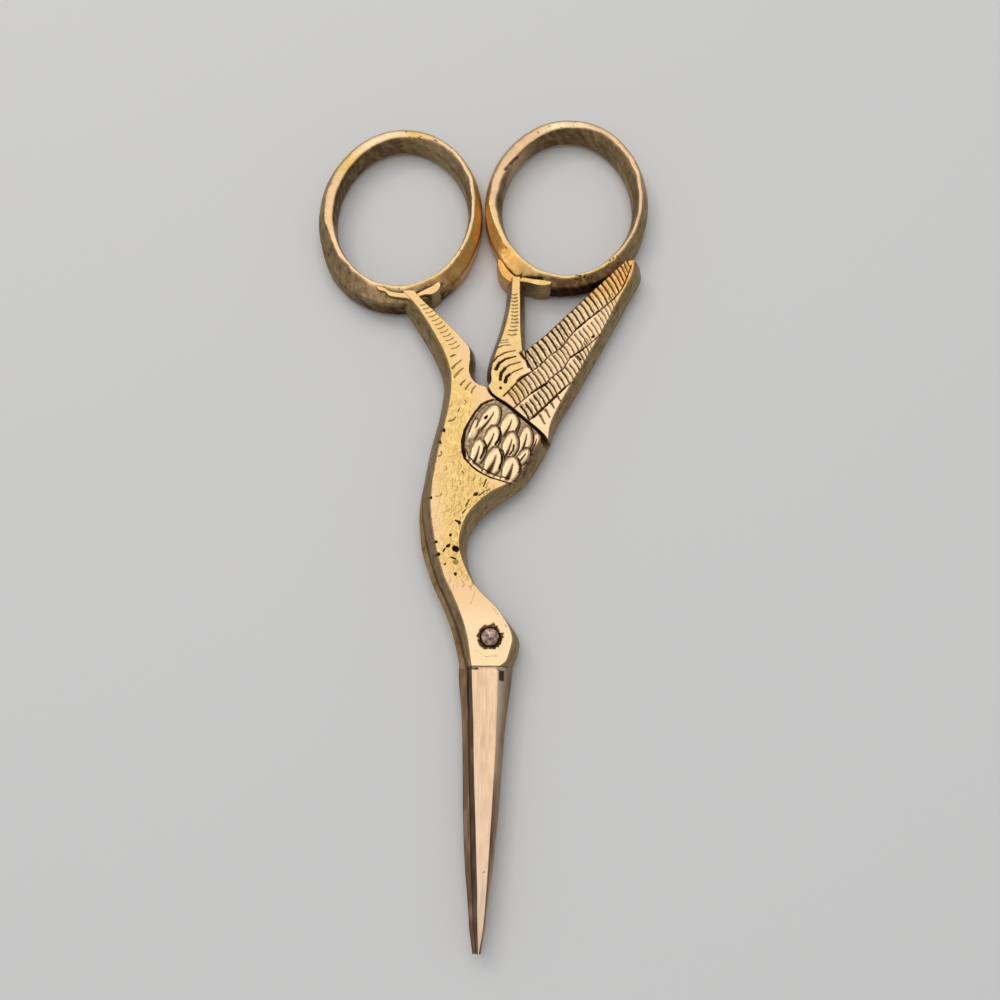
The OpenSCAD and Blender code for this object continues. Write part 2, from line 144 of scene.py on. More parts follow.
def spline(rows, at):
    """Smooth curve through rows whose first column falls, at values of that column."""
    rows, at = np.array(rows, float), np.asarray(at, float)
    index, last = np.arange(len(rows)), len(rows) - 1
    span = rows[np.minimum(index + 1, last)] - rows[np.maximum(index - 1, 0)]
    slope = span / span[:, :1]
    i = np.clip(np.searchsorted(-rows[:, 0], -at, side="right") - 1, 0, last - 1)
    h = (rows[i + 1, 0] - rows[i, 0])[:, None]
    t = (at[:, None] - rows[i, :1]) / h
    return (rows[i] * (1 - t) ** 2 * (1 + 2 * t) + rows[i + 1] * t * t * (3 - 2 * t)
            + slope[i] * h * t * (1 - t) ** 2 - slope[i + 1] * h * t * t * (1 - t))


def on_rail(rows, y):
    """Place across and wall run of a rail, at heights y."""
    return spline(rows, y)[:, 1:].T


def dense(top, bottom):
    return np.append(np.arange(top, bottom, -DENSE_STEP), bottom)


def side_of(rows, top, bottom, side, shift=None):
    """Dense edge from height top to bottom: columns y, face x, mid x."""
    y = dense(top, bottom)
    x, run = on_rail(rows, y)
    x = x + (shift(y) if shift else 0)
    return np.c_[y, x, x + side * run]


def seam_side(rows, bottom, across, up):
    """Dense edge with an upright wall, half the seam's gap beside it and half above or below it."""
    y = dense(FORK_Y + 1, bottom)
    x = spline(rows, y - up * SEAM_GAP / 2)[:, 1] + across * SEAM_GAP / 2
    return np.c_[y, x, x]


def layer_shift(y):
    """How far the back layer's neck and head stand out beside the front layer's."""
    return -BACK_SHIFT * unit((BREAST_Y + 3 - y) / 9)


def steps(path):
    """Lengths of a path's pieces."""
    return np.linalg.norm(np.diff(np.asarray(path, float), axis=0), axis=1)


def travelled(path):
    """How far along a path each of its points lies."""
    return np.r_[0, np.cumsum(steps(path))]


def resampled(rows, length, count):
    """Rows at evenly spaced lengths, without the last one, where a closed loop starts again."""
    at = np.linspace(0, length[-1], count, endpoint=False)
    return np.column_stack([np.interp(at, length, column) for column in rows.T])


def anticlockwise(loop):
    x, y = loop.T
    return np.sum(x * np.roll(y, -1) - np.roll(x, -1) * y) > 0


def spaced(edges):
    """Joins edges into one closed loop of evenly spaced stations: face points and mid points."""
    rows = [np.c_[e[:, 1], e[:, 0], e[:, 2], e[:, 3] if e.shape[1] > 3 else e[:, 0]] for e in edges]
    rows = np.concatenate(rows)
    rows = rows[np.r_[True, steps(rows) > 1e-6]]
    closed = np.r_[rows, rows[:1]]
    length = np.r_[0, np.cumsum(np.maximum(steps(closed[:, :2]), steps(closed[:, 2:])))]
    loop = resampled(closed, length, int(length[-1] / EDGE_STEP))
    if not anticlockwise(loop[:, :2]):
        loop = loop[::-1]
    return loop[:, :2].copy(), loop[:, 2:].copy()


def softened(rows, passes=2, axis=0):
    """A closed row of values or points, eased by averaging neighbours."""
    for _ in range(passes):
        rows = rows * 0.5 + (np.roll(rows, 1, axis) + np.roll(rows, -1, axis)) * 0.25
    return rows


def outward(loop):
    """Directions that point out of an anticlockwise loop."""
    along = np.roll(loop, -1, 0) - np.roll(loop, 1, 0)
    along /= np.linalg.norm(along, axis=1)[:, None] + 1e-9
    return np.c_[along[:, 1], -along[:, 0]]


def inside(points, loop):
    """Even-odd test of points against a closed loop."""
    hit = np.zeros(len(points), bool)
    x0, y0 = loop[:, 0], loop[:, 1]
    x1, y1 = np.roll(x0, -1), np.roll(y0, -1)
    order = np.argsort(points[:, 1])
    ys = points[order, 1]
    for a, b, c, d in zip(x0, y0, x1, y1):
        if b == d:
            continue
        lo, hi = np.searchsorted(ys, [min(b, d), max(b, d)])
        pick = order[lo:hi]
        cross = a + (points[pick, 1] - b) * (c - a) / (d - b)
        hit[pick] ^= points[pick, 0] < cross
    return hit


def noise(x, y, size, seed):
    """Smooth noise from 0 to 1 with features of about that size."""
    grid = np.random.default_rng(seed).random((NOISE_CELLS, NOISE_CELLS))
    u, v = np.asarray(x) / size, np.asarray(y) / size
    i, j = np.floor(u).astype(int), np.floor(v).astype(int)
    fu, fv = u - i, v - j
    fu, fv = fu * fu * (3 - 2 * fu), fv * fv * (3 - 2 * fv)
    a, b, c, d = (grid[(i + di) % NOISE_CELLS, (j + dj) % NOISE_CELLS] for dj in (0, 1) for di in (0, 1))
    return (a * (1 - fu) + b * fu) * (1 - fv) + (c * (1 - fu) + d * fu) * fv


def line_at(value, place, width):
    """Bell-shaped weight of 1 where value is place."""
    return np.exp(-((value - place) / width) ** 2)


# Engraving: every mark adds depth and darkness at the points of a face, as patina and in places painted shade

def nearest(path, p):
    """Distance of each point to a path, and how far along the path, from 0 to 1, that is."""
    path = np.array(path, float)
    part, start = steps(path), travelled(path)
    best, place = np.full(len(p), 1e9), np.zeros(len(p))
    for k in range(len(part)):
        a, d = path[k], path[k + 1] - path[k]
        t = unit(((p - a) @ d) / (d @ d))
        gap = np.linalg.norm(p - a - t[:, None] * d, axis=1)
        closer = gap < best
        best = np.where(closer, gap, best)
        place = np.where(closer, (start[k] + t * part[k]) / start[-1], place)
    return best, place


class Marks:
    """Depth, tarnish with painted shade, and paleness gathered over the points of one face."""

    def __init__(self, points):
        self.p = points
        self.x, self.y = points.T
        self.depth, self.tarnish, self.pale = np.zeros((3, len(points)))

    def near(self, low, high):
        return np.flatnonzero(np.all((self.p > low) & (self.p < high), axis=1))

    def cut(self, pick, depth, tarnish):
        """Deepens and darkens picked points that aren't deeper or darker already."""
        self.depth[pick] = np.maximum(self.depth[pick], depth)
        self.tarnish[pick] = np.maximum(self.tarnish[pick], tarnish)

    def whiten(self, pale):
        self.pale = np.maximum(self.pale, pale)

    def stroke(self, path, w0, w1, depth, dark=1.0, ragged=0.0, seed=1):
        """Cut along a path whose width goes from w0 to w1."""
        path = np.array(path, float)
        reach = max(w0, w1) * 0.8 + 0.05
        pick = self.near(path.min(0) - reach, path.max(0) + reach)
        if not len(pick):
            return
        best, place = nearest(path, self.p[pick])
        half = (w0 + (w1 - w0) * place) / 2
        if ragged:
            half = half * (1 + ragged * (noise(self.x[pick], self.y[pick], 0.35, seed) - 0.5) * 2)
        fall = unit(1 - (best / np.maximum(half, 1e-3)) ** 2)
        self.cut(pick, depth * fall, dark * np.minimum(1, 1.25 * fall ** 1.3))

    def strokes(self, rows, **shared):
        """Strokes from a table: path, both widths, depth, tarnish, raggedness and seed."""
        for row in rows:
            self.stroke(*row, **shared)

    def pit(self, centre, rx, ry, depth, turn=0.0, seed=3, dark=1.0):
        """Ragged corroded pit."""
        reach = max(rx, ry) * 1.6
        pick = self.near(np.array(centre) - reach, np.array(centre) + reach)
        if not len(pick):
            return
        dx, dy = (self.p[pick] - centre).T
        c, s = math.cos(math.radians(turn)), math.sin(math.radians(turn))
        r = np.hypot((dx * c + dy * s) / rx, (-dx * s + dy * c) / ry)
        r = r * (1 + 0.55 * (noise(self.x[pick], self.y[pick], 0.22, seed) - 0.5))
        fall = unit((1.05 - r) * 2.5)
        self.cut(pick, depth * fall, dark * fall)


def point_on(path, distance):
    """Point at a distance along a path."""
    length = travelled(path)
    return np.array([np.interp(distance, length, column) for column in np.array(path, float).T])


# Lines between the rows of wing feathers, from the seam outwards
WING_LINE_1 = [
    (1.7, 33), (2.7, 34.1), (3.85, 35.5), (5, 36.3), (6.25, 37.3), (8.1, 39.2), (9.8, 40.5), (11, 42.3),
    (12.1, 43.6), (14, 45.25), (15.2, 46.3), (17.1, 48), (18.4, 49.7), (19.2, 51.5), (19.9, 53.6)]
WING_LINE_2 = [
    (2.9, 31), (3.9, 32), (5.6, 33.6), (7.5, 34.9), (8.1, 35.7), (10, 37.3), (10.8, 38.8), (13.1, 40.5),
    (14.4, 41.7), (15.9, 43.3)]
WING_LINE_3 = [
    (4.9, 29.3), (5.8, 30), (7.1, 31.3), (8.75, 33), (10, 34.3), (11.5, 35.5), (12.4, 36.6)]

# The way the barbs lean
RIB_WAY = np.array([-0.5, 0.866])


def ribs(marks, line, first, last, pitch, length, w_foot, w_top, depth, seed, fade, dark):
    """Valleys between feather barbs, from a row's line up and to the left."""
    rng = np.random.default_rng(seed)
    at = first
    while at < last:
        share = (at - first) / (last - first)
        foot = point_on(line, at) + RIB_WAY * 0.2
        way = RIB_WAY + np.array([0.16, 0.08]) * max(0, share - 0.6) * 2.5
        reach = length * (1 + rng.uniform(-0.06, 0.06))
        bend = way * reach * 0.5 + np.array([0.09, 0.07])
        strength = (1 - fade * share) * (1 + rng.uniform(-0.2, 0.15))
        thin = 1 - 0.35 * fade * share
        path = np.array([foot, foot + bend, foot + way * reach])
        # A wider, fainter stroke set off to one side paints shade beside each valley
        marks.stroke(path + (0.1, 0.06), w_foot * thin * 1.75, w_top * thin * 1.6, 0.5 * depth * strength,
                     0.26, 0.3, seed + 5)
        marks.stroke(path, w_foot * thin * 0.85, w_top * thin * 0.9, depth * strength,
                     0.28 + (dark - 0.36) * strength, 0.35, seed)
        at += pitch * (1 - 0.12 * fade * share) * (1 + rng.uniform(-0.07, 0.07))


def engrave_wing(marks):
    """Feather rows, the thigh's crescents and the leg's rings on the back half."""
    for line, width in ((WING_LINE_1, 0.22), (WING_LINE_2, 0.2), (WING_LINE_3, 0.24)):
        marks.stroke(line, width, width * 0.8, 0.2, 0.62, 0.4, 11)
    marks.strokes([
        ([(4.9, 40.2), (8.2, 43), (13.2, 48.3), (16.4, 52.4)], 0.5, 0.3, 0.12, 0.5, 0.5, 14),
        ([(3.75, 35.4), (4.4, 35.95), (5.05, 36.35)], 0.46, 0.32, 0.34, 0.85, 0.3),
        ([(11.8, 43.3), (13.4, 44.75), (15.1, 46.2)], 0.26, 0.28, 0.3, 0.8, 0.4),
        ([(5.5, 33.5), (6.5, 34.25), (7.6, 35)], 0.32, 0.4, 0.34, 0.85, 0.35),
        ([(10.9, 38.9), (12, 39.7), (13.2, 40.6)], 0.34, 0.22, 0.32, 0.85, 0.35),
        ([(5.7, 29.9), (7.1, 31.3), (8.75, 33), (10.1, 34.4)], 0.34, 0.3, 0.32, 0.8, 0.4),
        ([(4.75, 40.4), (4.75, 39.2), (4.9, 38.2), (5.1, 37.35)], 0.3, 0.2, 0.25, 0.66, 0.2),
        ([(14, 42.05), (14.25, 42.3)], 0.34, 0.3, 0.3),
        ([(11.9, 39.1), (12.35, 38.5)], 0.3, 0.26, 0.3, 1, 0.4)])
    ribs(marks, WING_LINE_1, 5.6, 27.6, 0.9, 2.8, 0.34, 0.56, 0.36, 21, 0.5, 0.95)
    row_2 = WING_LINE_2 + [(17.2, 45.8), (18.2, 47.7)]
    ribs(marks, row_2, 0.9, steps(row_2).sum() - 0.8, 0.78, 2.05, 0.3, 0.4, 0.22, 22, 0.5, 0.68)
    row_3 = WING_LINE_3 + [(13.3, 38.4), (14.7, 41)]
    ribs(marks, row_3, 0.4, steps(row_3).sum() - 0.8, 0.78, 1.95, 0.34, 0.42, 0.24, 23, 0.55, 0.82)
    for path in (((7.25, 28.9), (6.6, 30.2)), ((7.9, 29.9), (7.4, 31)), ((8.55, 31.2), (8.2, 31.9)),
                 ((9.4, 32.3), (9, 33))):
        marks.stroke(path, 0.2, 0.36, 0.18, 0.5, 0.3)
    marks.strokes([
        ([(0.35, 38.25), (0.9, 39), (2, 39.65), (3.4, 39.95)], 0.26, 0.12, 0.2, 0.7),
        ([(0.7, 37.15), (1.15, 38), (2, 38.65), (3.4, 39.05)], 0.5, 0.16, 0.32, 0.8),
        ([(2, 37.3), (2.6, 37.75), (4.1, 38.2)], 0.22, 0.12, 0.18, 0.6),
        ([(1.25, 35.5), (1.4, 36.5), (1.95, 37.2)], 0.4, 0.46, 0.32, 0.8),
        ([(1.95, 35.15), (2.15, 35.9), (2.55, 36.3)], 0.5, 0.42, 0.34, 0.9),
        ([(2.4, 36.1), (3.1, 36.7), (4.35, 37.25)], 0.2, 0.12, 0.18, 0.6),
        ([(0.9, 40.4), (1.7, 40.75), (2.7, 40.8)], 0.2, 0.12, 0.1, 0.4)], ragged=0.25)
    marks.whiten(0.85 * unit((marks.x - 3.2) / 2) * unit((50 - marks.y) / 4))
    marks.whiten(0.2 * (marks.y > 33))
    marks.pit((1.3, 34.2), 0.16, 0.22, 0.2)
    # Rings across the leg: height, half length
    for height, reach in ((48.8, 0.36), (48.25, 0.38), (47.7, 0.38), (47.1, 0.4), (46.55, 0.42), (46, 0.42),
                          (45.4, 0.45), (44.85, 0.45), (44.3, 0.48), (43.7, 0.5), (43.1, 0.6), (42.4, 0.6)):
        middle = 3.3 - max(0, 44.5 - height) * 0.2
        path = [(middle - reach, height + 0.06), (middle, height - 0.06), (middle + reach, height + 0.1)]
        marks.stroke(path, 0.12, 0.26, 0.08, 0.42, 0.4)
    for height, middle in ((41.5, 1.75), (41.15, 1.9)):
        path = [(middle - 0.6, height - 0.05), (middle, height + 0.05), (middle + 0.6, height + 0.1)]
        marks.stroke(path, 0.14, 0.16, 0.06, 0.3)


# Small feathers on the body, the covered ones first: tip, foot, half width, slit's width
FEATHERS = [
    ((6.35, 27.6), (5.4, 24.9), 0.66, 0.16), ((4.95, 28.6), (4.15, 24.8), 0.92, 0.22),
    ((-1.8, 29.7), (-2.75, 26.7), 0.62, 0), ((0.85, 31.75), (-1.15, 28.1), 1.24, 0.2),
    ((3, 30.55), (1.85, 27.2), 1.26, 0.2), ((0.7, 28.65), (-0.6, 25.1), 1.06, 0.24),
    ((2.95, 27.75), (2.05, 24.2), 1.08, 0.2), ((5, 25.35), (3.6, 23.2), 0.7, 0.16),
    ((-1.4, 26.75), (-2.15, 23.3), 1, 0.3), ((0.95, 25.5), (-0.3, 21.8), 1.22, 0.75),
    ((3, 24.2), (2.2, 20.9), 1.2, 0.6)]

# Left and lower edge of the shallow round that the feathers lie in
POCKET = [
    (0.3, 32.5), (-0.38, 32.26), (-1.19, 31.81), (-1.99, 30.78), (-2.78, 29.45), (-3.43, 27.99),
    (-3.75, 26.54), (-3.73, 25.1), (-3.38, 23.95), (-2.45, 22.82), (-1.39, 21.97), (-0.07, 21.26),
    (1.24, 20.84), (2.6, 20.4)]


def engrave_feathers(marks):
    """Leaf-shaped feathers that overlap like scales in a shallow round on the body."""
    room = np.r_[np.array(POCKET), [(8.5, 20.4), (8.5, 32.5)]]
    pick = np.flatnonzero(inside(marks.p, room))
    p = marks.p[pick]
    rough = noise(p[:, 0], p[:, 1], 0.5, 31) - 0.5
    depth = 0.22 + 0.06 * rough
    dark = 0.44 + 0.24 * (noise(p[:, 0], p[:, 1], 0.3, 32) - 0.5)
    bevel = unit((0.5 - nearest(POCKET[7:], p)[0]) / 0.08)
    depth, dark = depth * (1 - 0.6 * bevel), dark * (1 - 0.85 * bevel)
    for tip, foot, half_w, slit in FEATHERS:
        tip, foot = np.array(tip), np.array(foot)
        length = np.linalg.norm(tip - foot)
        way = (tip - foot) / length
        d = p - foot
        v, u = d @ way / length, d @ np.array([way[1], -way[0]])
        u = u - 0.16 * half_w * np.sin(unit(v) * math.pi)
        level = unit(v)
        arch = np.sqrt(np.maximum(1 - level ** 3.4, 1e-4))
        wide = half_w * arch * (0.62 + 0.38 * np.sin(np.minimum(1, level / 0.55) * 1.57))
        lean = np.minimum(half_w * 1.7 * level ** 2.4 / np.maximum(arch, 0.1) / length, 1.6)
        gap = (wide - np.abs(u)) / np.sqrt(1 + lean ** 2)
        gap = np.where(v > 1, -np.hypot((1 - v) * length, u), gap)
        gap = np.minimum(gap, half_w - np.abs(u)) + 0.08 * rough
        weight = unit((gap + 0.24) / 0.08) * unit(v * 6 + 0.6)
        # Painted shade: each feather's outline darkens on its right side, and its middle darkens towards the
        # foot
        right = np.clip(0.5 + u / half_w, 0.25, 1)
        outline = line_at(gap, -0.12, 0.11) * (0.5 + 0.5 * right)
        second = 0.3 * line_at(gap, 0.27, 0.07) * unit(v * 2 - 0.5)
        foot_shade = 0.42 * unit(1 - np.abs(u) / (0.6 * half_w)) * unit(1 - 1.4 * v)
        vein = line_at(u, 0.12 * half_w * (v - 0.5), 0.05 + slit * unit(0.8 - v) * 0.5)
        vein = vein * unit((0.78 - v) * 8) * (slit > 0)
        shade = unit(outline + second + foot_shade * (1 - vein) + 0.95 * vein * np.clip(1.15 - v, 0.4, 1))
        dome = 0.03 + 0.11 * unit(1 - gap / 0.45) ** 2 + 0.12 * outline + 0.12 * vein
        depth = depth * (1 - weight) + weight * dome
        dark = dark * (1 - weight) + weight * shade
    marks.cut(pick, depth, dark)
    marks.pale[pick] = 1


def engrave_body(marks):
    """Round with feathers, ticks, corrosion pits and leg marks on the front half."""
    engrave_feathers(marks)
    marks.strokes([
        (POCKET, 0.3, 0.2, 0.25, 0.85, 0.3, 4), (POCKET[1:9], 0.24, 0.4, 0.34, 1, 0.25, 5),
        ([(-2.9, 29.2), (-3.4, 28), (-3.55, 26.9)], 0.2, 0.5, 0.36, 0.9, 0.3, 6),
        ([(-3.55, 26.9), (-3.6, 25.6), (-3.3, 24.2)], 0.5, 0.2, 0.36, 0.9, 0.3, 6),
        (POCKET[8:], 0.3, 0.16, 0.26, 0.8, 0.3, 7),
        ([(-3.25, 25.3), (-2.95, 24.3), (-2.1, 23.35), (-1.1, 22.55), (0.1, 21.85), (1.3, 21.4), (2.3, 21.1)],
         0.26, 0.16, 0.26, 0.75, 0.5, 7),
        ([(0.6, 31.95), (-0.65, 31.7), (-1.45, 30.95), (-1.98, 30.05), (-2.5, 28.9), (-2.9, 27.7)],
         0.13, 0.18, 0.2, 0.8, 0.3)])
    # Crescents beside the feathers: painted shadows along shallow grooves
    marks.strokes([
        ([(1.05, 28.6), (1.33, 27.7), (1.12, 26.83), (0.64, 25.9)], 0.24, 0.34, 0.3, 0.95),
        ([(1.15, 25.3), (1.5, 24.38), (1.5, 23.53), (1.15, 22.5)], 0.26, 0.34, 0.3, 0.95),
        ([(-0.75, 25.6), (-0.95, 24.8), (-1.4, 23.9)], 0.4, 0.2, 0.3, 0.9),
        ([(3.9, 29.3), (3.7, 28.6), (3.3, 27.9)], 0.3, 0.3, 0.3, 0.55),
        ([(1.4, 31), (1.42, 30.2), (1.2, 29.3)], 0.24, 0.3, 0.3, 0.5),
        ([(3.1, 25.9), (2.95, 25.1), (2.5, 24.5)], 0.26, 0.22, 0.3, 0.65),
        ([(3.75, 23.3), (3.9, 22.6), (3.7, 21.9)], 0.2, 0.24, 0.3, 0.7)], ragged=0.3, seed=13)
    marks.pit((-0.64, 29.89), 0.2, 0.3, 0.34, turn=-35)
    engrave_ticks(marks)
    # Corrosion pits: centre, half widths, depth, turn
    for row in (
            ((-6.26, 28.04), 0.2, 0.34, 0.3, 0), ((-6.72, 26.35), 0.14, 0.4, 0.25, 20),
            ((-7.74, 18.4), 0.14, 0.2, 0.2, 0), ((-1.9, 18.85), 0.32, 0.2, 0.2, 30),
            ((-4.25, 15.15), 0.45, 0.13, 0.2, -20), ((-4, 14.9), 0.16, 0.16, 0.2, 0),
            ((-5.1, 13.3), 0.14, 0.2, 0.2, 0), ((-6.96, 12.36), 0.24, 0.2, 0.35, 0),
            ((-5.36, 11.84), 0.32, 0.17, 0.3, 30), ((-4.4, 11.42), 0.5, 0.36, 0.5, -35),
            ((-6.6, 10.7), 0.26, 0.22, 0.35, 0), ((-5.9, 11.3), 0.1, 0.28, 0.15, -30),
            ((-5.76, 9.4), 0.2, 0.1, 0.15, 40), ((-4.4, 8.1), 0.17, 0.26, 0.25, 0),
            ((-4.7, 10.2), 0.42, 0.1, 0.15, -20)):
        marks.pit(*row, seed=8)
    marks.pit((-4.35, 9.65), 0.42, 0.34, 0.06, dark=0.45)
    marks.strokes([
        ([(-5.48, 39), (-5.14, 39.23), (-4.8, 39.31)], 0.26, 0.14, 0.08, 0.8),
        ([(-5.25, 37.24), (-4.78, 37.85), (-4.04, 38.46)], 0.34, 0.1, 0.08, 0.5),
        ([(-4.89, 35.94), (-4.42, 36.63), (-3.75, 37.31)], 0.44, 0.12, 0.08, 0.42),
        ([(-3.4, 35.5), (-3.8, 35.1), (-4.1, 34.7)], 0.1, 0.34, 0.08, 0.6),
        ([(-2.7, 35.1), (-3.1, 34.6), (-3.4, 34.1)], 0.1, 0.3, 0.08, 0.4),
        ([(-2, 34.6), (-2.4, 34.1), (-2.6, 33.5)], 0.1, 0.26, 0.08, 0.34)], ragged=0.3, seed=9)
    for path, width in (
            ([(-0.55, 20.9), (-0.9, 20)], 0.2), ([(-6.9, 24.2), (-6.4, 24.5), (-6.55, 24.9)], 0.14),
            ([(-5.6, 29.3), (-5, 29.5), (-4.7, 29.9)], 0.14), ([(-4.4, 30.7), (-4.15, 31.3)], 0.14),
            ([(-1.5, 18.7), (-0.9, 19.2), (-0.2, 19.5)], 0.14), ([(-2.8, 18), (-3.2, 17.2)], 0.26),
            ([(-3.3, 16.7), (-3.6, 16.2)], 0.16)):
        marks.stroke(path, width, width * 0.7, 0.12, 0.5, 0.6, 9)
    for height in np.arange(47.3, 40.2, -0.62):
        middle = np.interp(height, [40, 44, 48], [-4.6, -7.2, -9.9])
        path = [(middle - 0.5, height - 0.25), (middle + 0.1, height - 0.1), (middle + 0.6, height + 0.3)]
        marks.stroke(path, 0.12, 0.12, 0.07, 0.38)


def engrave_ticks(marks):
    """Short curved dents, like small scales, that cover the body and neck."""
    rng = np.random.default_rng(41)
    for y in np.arange(6.4, 32.4, 0.56):
        left, _ = on_rail(LEFT_LEG_OUTER, [y])
        right = on_rail(BELLY, [min(y, BREAST_Y + 9)])[0] if y < FORK_Y - 8 else np.array([-2.0])
        for x in np.arange(left[0] + 0.4, right[0] - 0.2, 0.52):
            if rng.random() < 0.22:
                continue
            centre = np.array([x, y]) + rng.uniform(-0.24, 0.24, 2)
            if math.hypot(centre[0] - 1.9, centre[1] - 26.4) < 6.3:
                continue
            turn = math.radians(rng.normal(68, 24))
            half = rng.uniform(0.22, 0.5)
            way = np.array([math.cos(turn), math.sin(turn)]) * half
            bow = np.array([way[1], -way[0]]) * rng.uniform(0.25, 0.7)
            path = [centre + way * t + bow * (1 - t * t) for t in (-1, -0.5, 0, 0.5, 1)]
            edge = 0.55 if x - left[0] < 1.6 else 1.0
            dark = rng.uniform(0.4, 0.62) if rng.random() < 0.04 else rng.uniform(0.16, 0.4) * edge
            marks.stroke(path, 0.13, 0.2, 0.03, dark, 0.3, 15)


def engrave_pivot(marks):
    """Corroded crevice round the screw's head, on a paler head."""
    r, angle = np.hypot(marks.x, marks.y), np.arctan2(marks.y, marks.x)
    jag = noise(np.cos(angle) * 2 + 7, np.sin(angle) * 2 + 7, 0.26, 17)
    coarse = noise(np.cos(angle) * 2 + 3, np.sin(angle) * 2 + 3, 0.7, 18)
    spike = 0.36 * line_at(angle, 1.3, 0.13) + 0.14 * line_at(angle, 0.2, 0.1)
    fall = unit((1.36 + 0.3 * jag + 0.14 * coarse + spike - r) / 0.2)
    stain = 0.1 * unit(1 - np.abs(r - 1.75) / 0.35) + 0.12 * line_at(r, 2.25, 0.1) * (marks.x > 0.6)
    rust = fall * (0.43 + 0.22 * noise(marks.x, marks.y, 0.3, 19))
    marks.cut(slice(None), 0.22 * fall, np.maximum(stain, rust))
    marks.whiten(0.85 * unit((5.5 - marks.y) / 4))
    for path, dark in (([(-2.4, 4.2), (-1.9, 5.4), (-2, 6.6)], 0.2), ([(1.6, 2.3), (2.1, 1.2)], 0.14),
                       ([(-1.9, -1.6), (-0.6, -2.5), (1, -2.4)], 0.12), ([(0.5, 3.6), (1, 2.8)], 0.16)):
        marks.stroke(path, 0.14, 0.1, 0.03, dark, 0.5)


# Meshes

PAINTS = ("tarnish", "wall", "gold", "pale")


def placed(name, data):
    """New object with that data, in the scene."""
    thing = bpy.data.objects.new(name, data)
    bpy.context.scene.collection.objects.link(thing)
    return thing


class Build:
    """Vertices, faces and per-vertex paint of one piece."""

    def __init__(self):
        self.verts, self.faces, self.paint, self.count = [], [], [], 0

    def add(self, verts, faces, tarnish=0.0, wall=0.0, gold=0.5, pale=0.0):
        self.verts.append(np.asarray(verts, float))
        self.faces += [tuple(int(i) + self.count for i in f) for f in faces]
        self.paint.append([np.broadcast_to(value, (len(verts),)) for value in (tarnish, wall, gold, pale)])
        self.count += len(verts)

    def object(self, name, material):
        mesh = bpy.data.meshes.new(name)
        mesh.from_pydata((np.concatenate(self.verts) * MM).tolist(), [], self.faces)
        mesh.polygons.foreach_set("use_smooth", [True] * len(mesh.polygons))
        for key, values in zip(PAINTS, zip(*self.paint)):
            layer = mesh.attributes.new(key, "FLOAT", "POINT")
            layer.data.foreach_set("value", np.concatenate(values).astype(np.float32))
        mesh.set_sharp_from_angle(angle=math.radians(SHARP_ANGLE))
        mesh.update()
        mesh.validate()
        mesh.materials.append(material)
        return placed(name, mesh)


def ring_edges(start, count):
    """Pairs of neighbours round a closed row of numbered points."""
    return [(start + i, start + (i + 1) % count) for i in range(count)]


def triangulated(loops, points):
    """Constrained triangles over loops and points, inside the first loop and outside the others."""
    joined = np.concatenate(loops + [points])
    edges, start = [], 0
    for loop in loops:
        edges += ring_edges(start, len(loop))
        start += len(loop)
    _, _, faces, origins, _, _ = delaunay_2d_cdt([Vector(p) for p in joined], edges, [], 1, 1e-7)
    tris = np.array([[origins[i][0] for i in f] for f in faces if all(origins[i] for i in f)])
    for hole in loops[1:]:
        tris = tris[~inside(joined[tris].mean(1), hole)]
    a, b, c = (joined[tris[:, k]] for k in range(3))
    turn = (b[:, 0] - a[:, 0]) * (c[:, 1] - a[:, 1]) - (b[:, 1] - a[:, 1]) * (c[:, 0] - a[:, 0])
    tris[turn < 0] = tris[turn < 0][:, ::-1]
    return joined, tris


def grid_inside(loops, step):
    """Grid points inside the first loop and outside the others, kept off their lines."""
    outer = loops[0]
    low, high = outer.min(0), outer.max(0)
    nx, ny = (np.ceil((high - low) / step).astype(int) + 1)
    gx, gy = np.meshgrid(np.arange(nx), np.arange(ny), indexing="ij")
    points = np.stack([low[0] + (gx + 0.5 * (gy % 2)) * step, low[1] + gy * step], -1)
    free = np.ones((nx, ny), bool)
    for loop in loops:
        ahead = np.roll(loop, -1, 0)
        for t in np.linspace(0, 1, 4, endpoint=False):
            at = loop + (ahead - loop) * t
            j = np.round((at[:, 1] - low[1]) / step).astype(int)
            for dj in (-1, 0, 1):
                jj = np.clip(j + dj, 0, ny - 1)
                i = np.round((at[:, 0] - low[0]) / step - 0.5 * (jj % 2)).astype(int)
                for di in (-1, 0, 1):
                    ii = np.clip(i + di, 0, nx - 1)
                    near = np.linalg.norm(points[ii, jj] - at, axis=1) < 0.55 * step
                    free[ii[near], jj[near]] = False
    flat = points[free]
    keep = inside(flat, outer)
    for hole in loops[1:]:
        keep &= ~inside(flat, hole)
    return flat[keep]


def room(loop):
    """Half width of the loop near each of its points, so that an inset doesn't cross itself."""
    n = len(loop)
    index = np.arange(n)
    out = np.empty(n)
    for start in range(0, n, 256):
        rows = slice(start, min(start + 256, n))
        gap = np.linalg.norm(loop[rows, None] - loop[None], axis=2)
        apart = np.abs(index[rows, None] - index[None])
        apart = np.minimum(apart, n - apart)
        gap[apart < 4] = 9
        out[rows] = gap.min(1)
    return out


def circle(radius):
    a = np.arange(HOLE_SIDES) * 2 * math.pi / HOLE_SIDES
    return np.c_[radius * np.cos(a), radius * np.sin(a)]


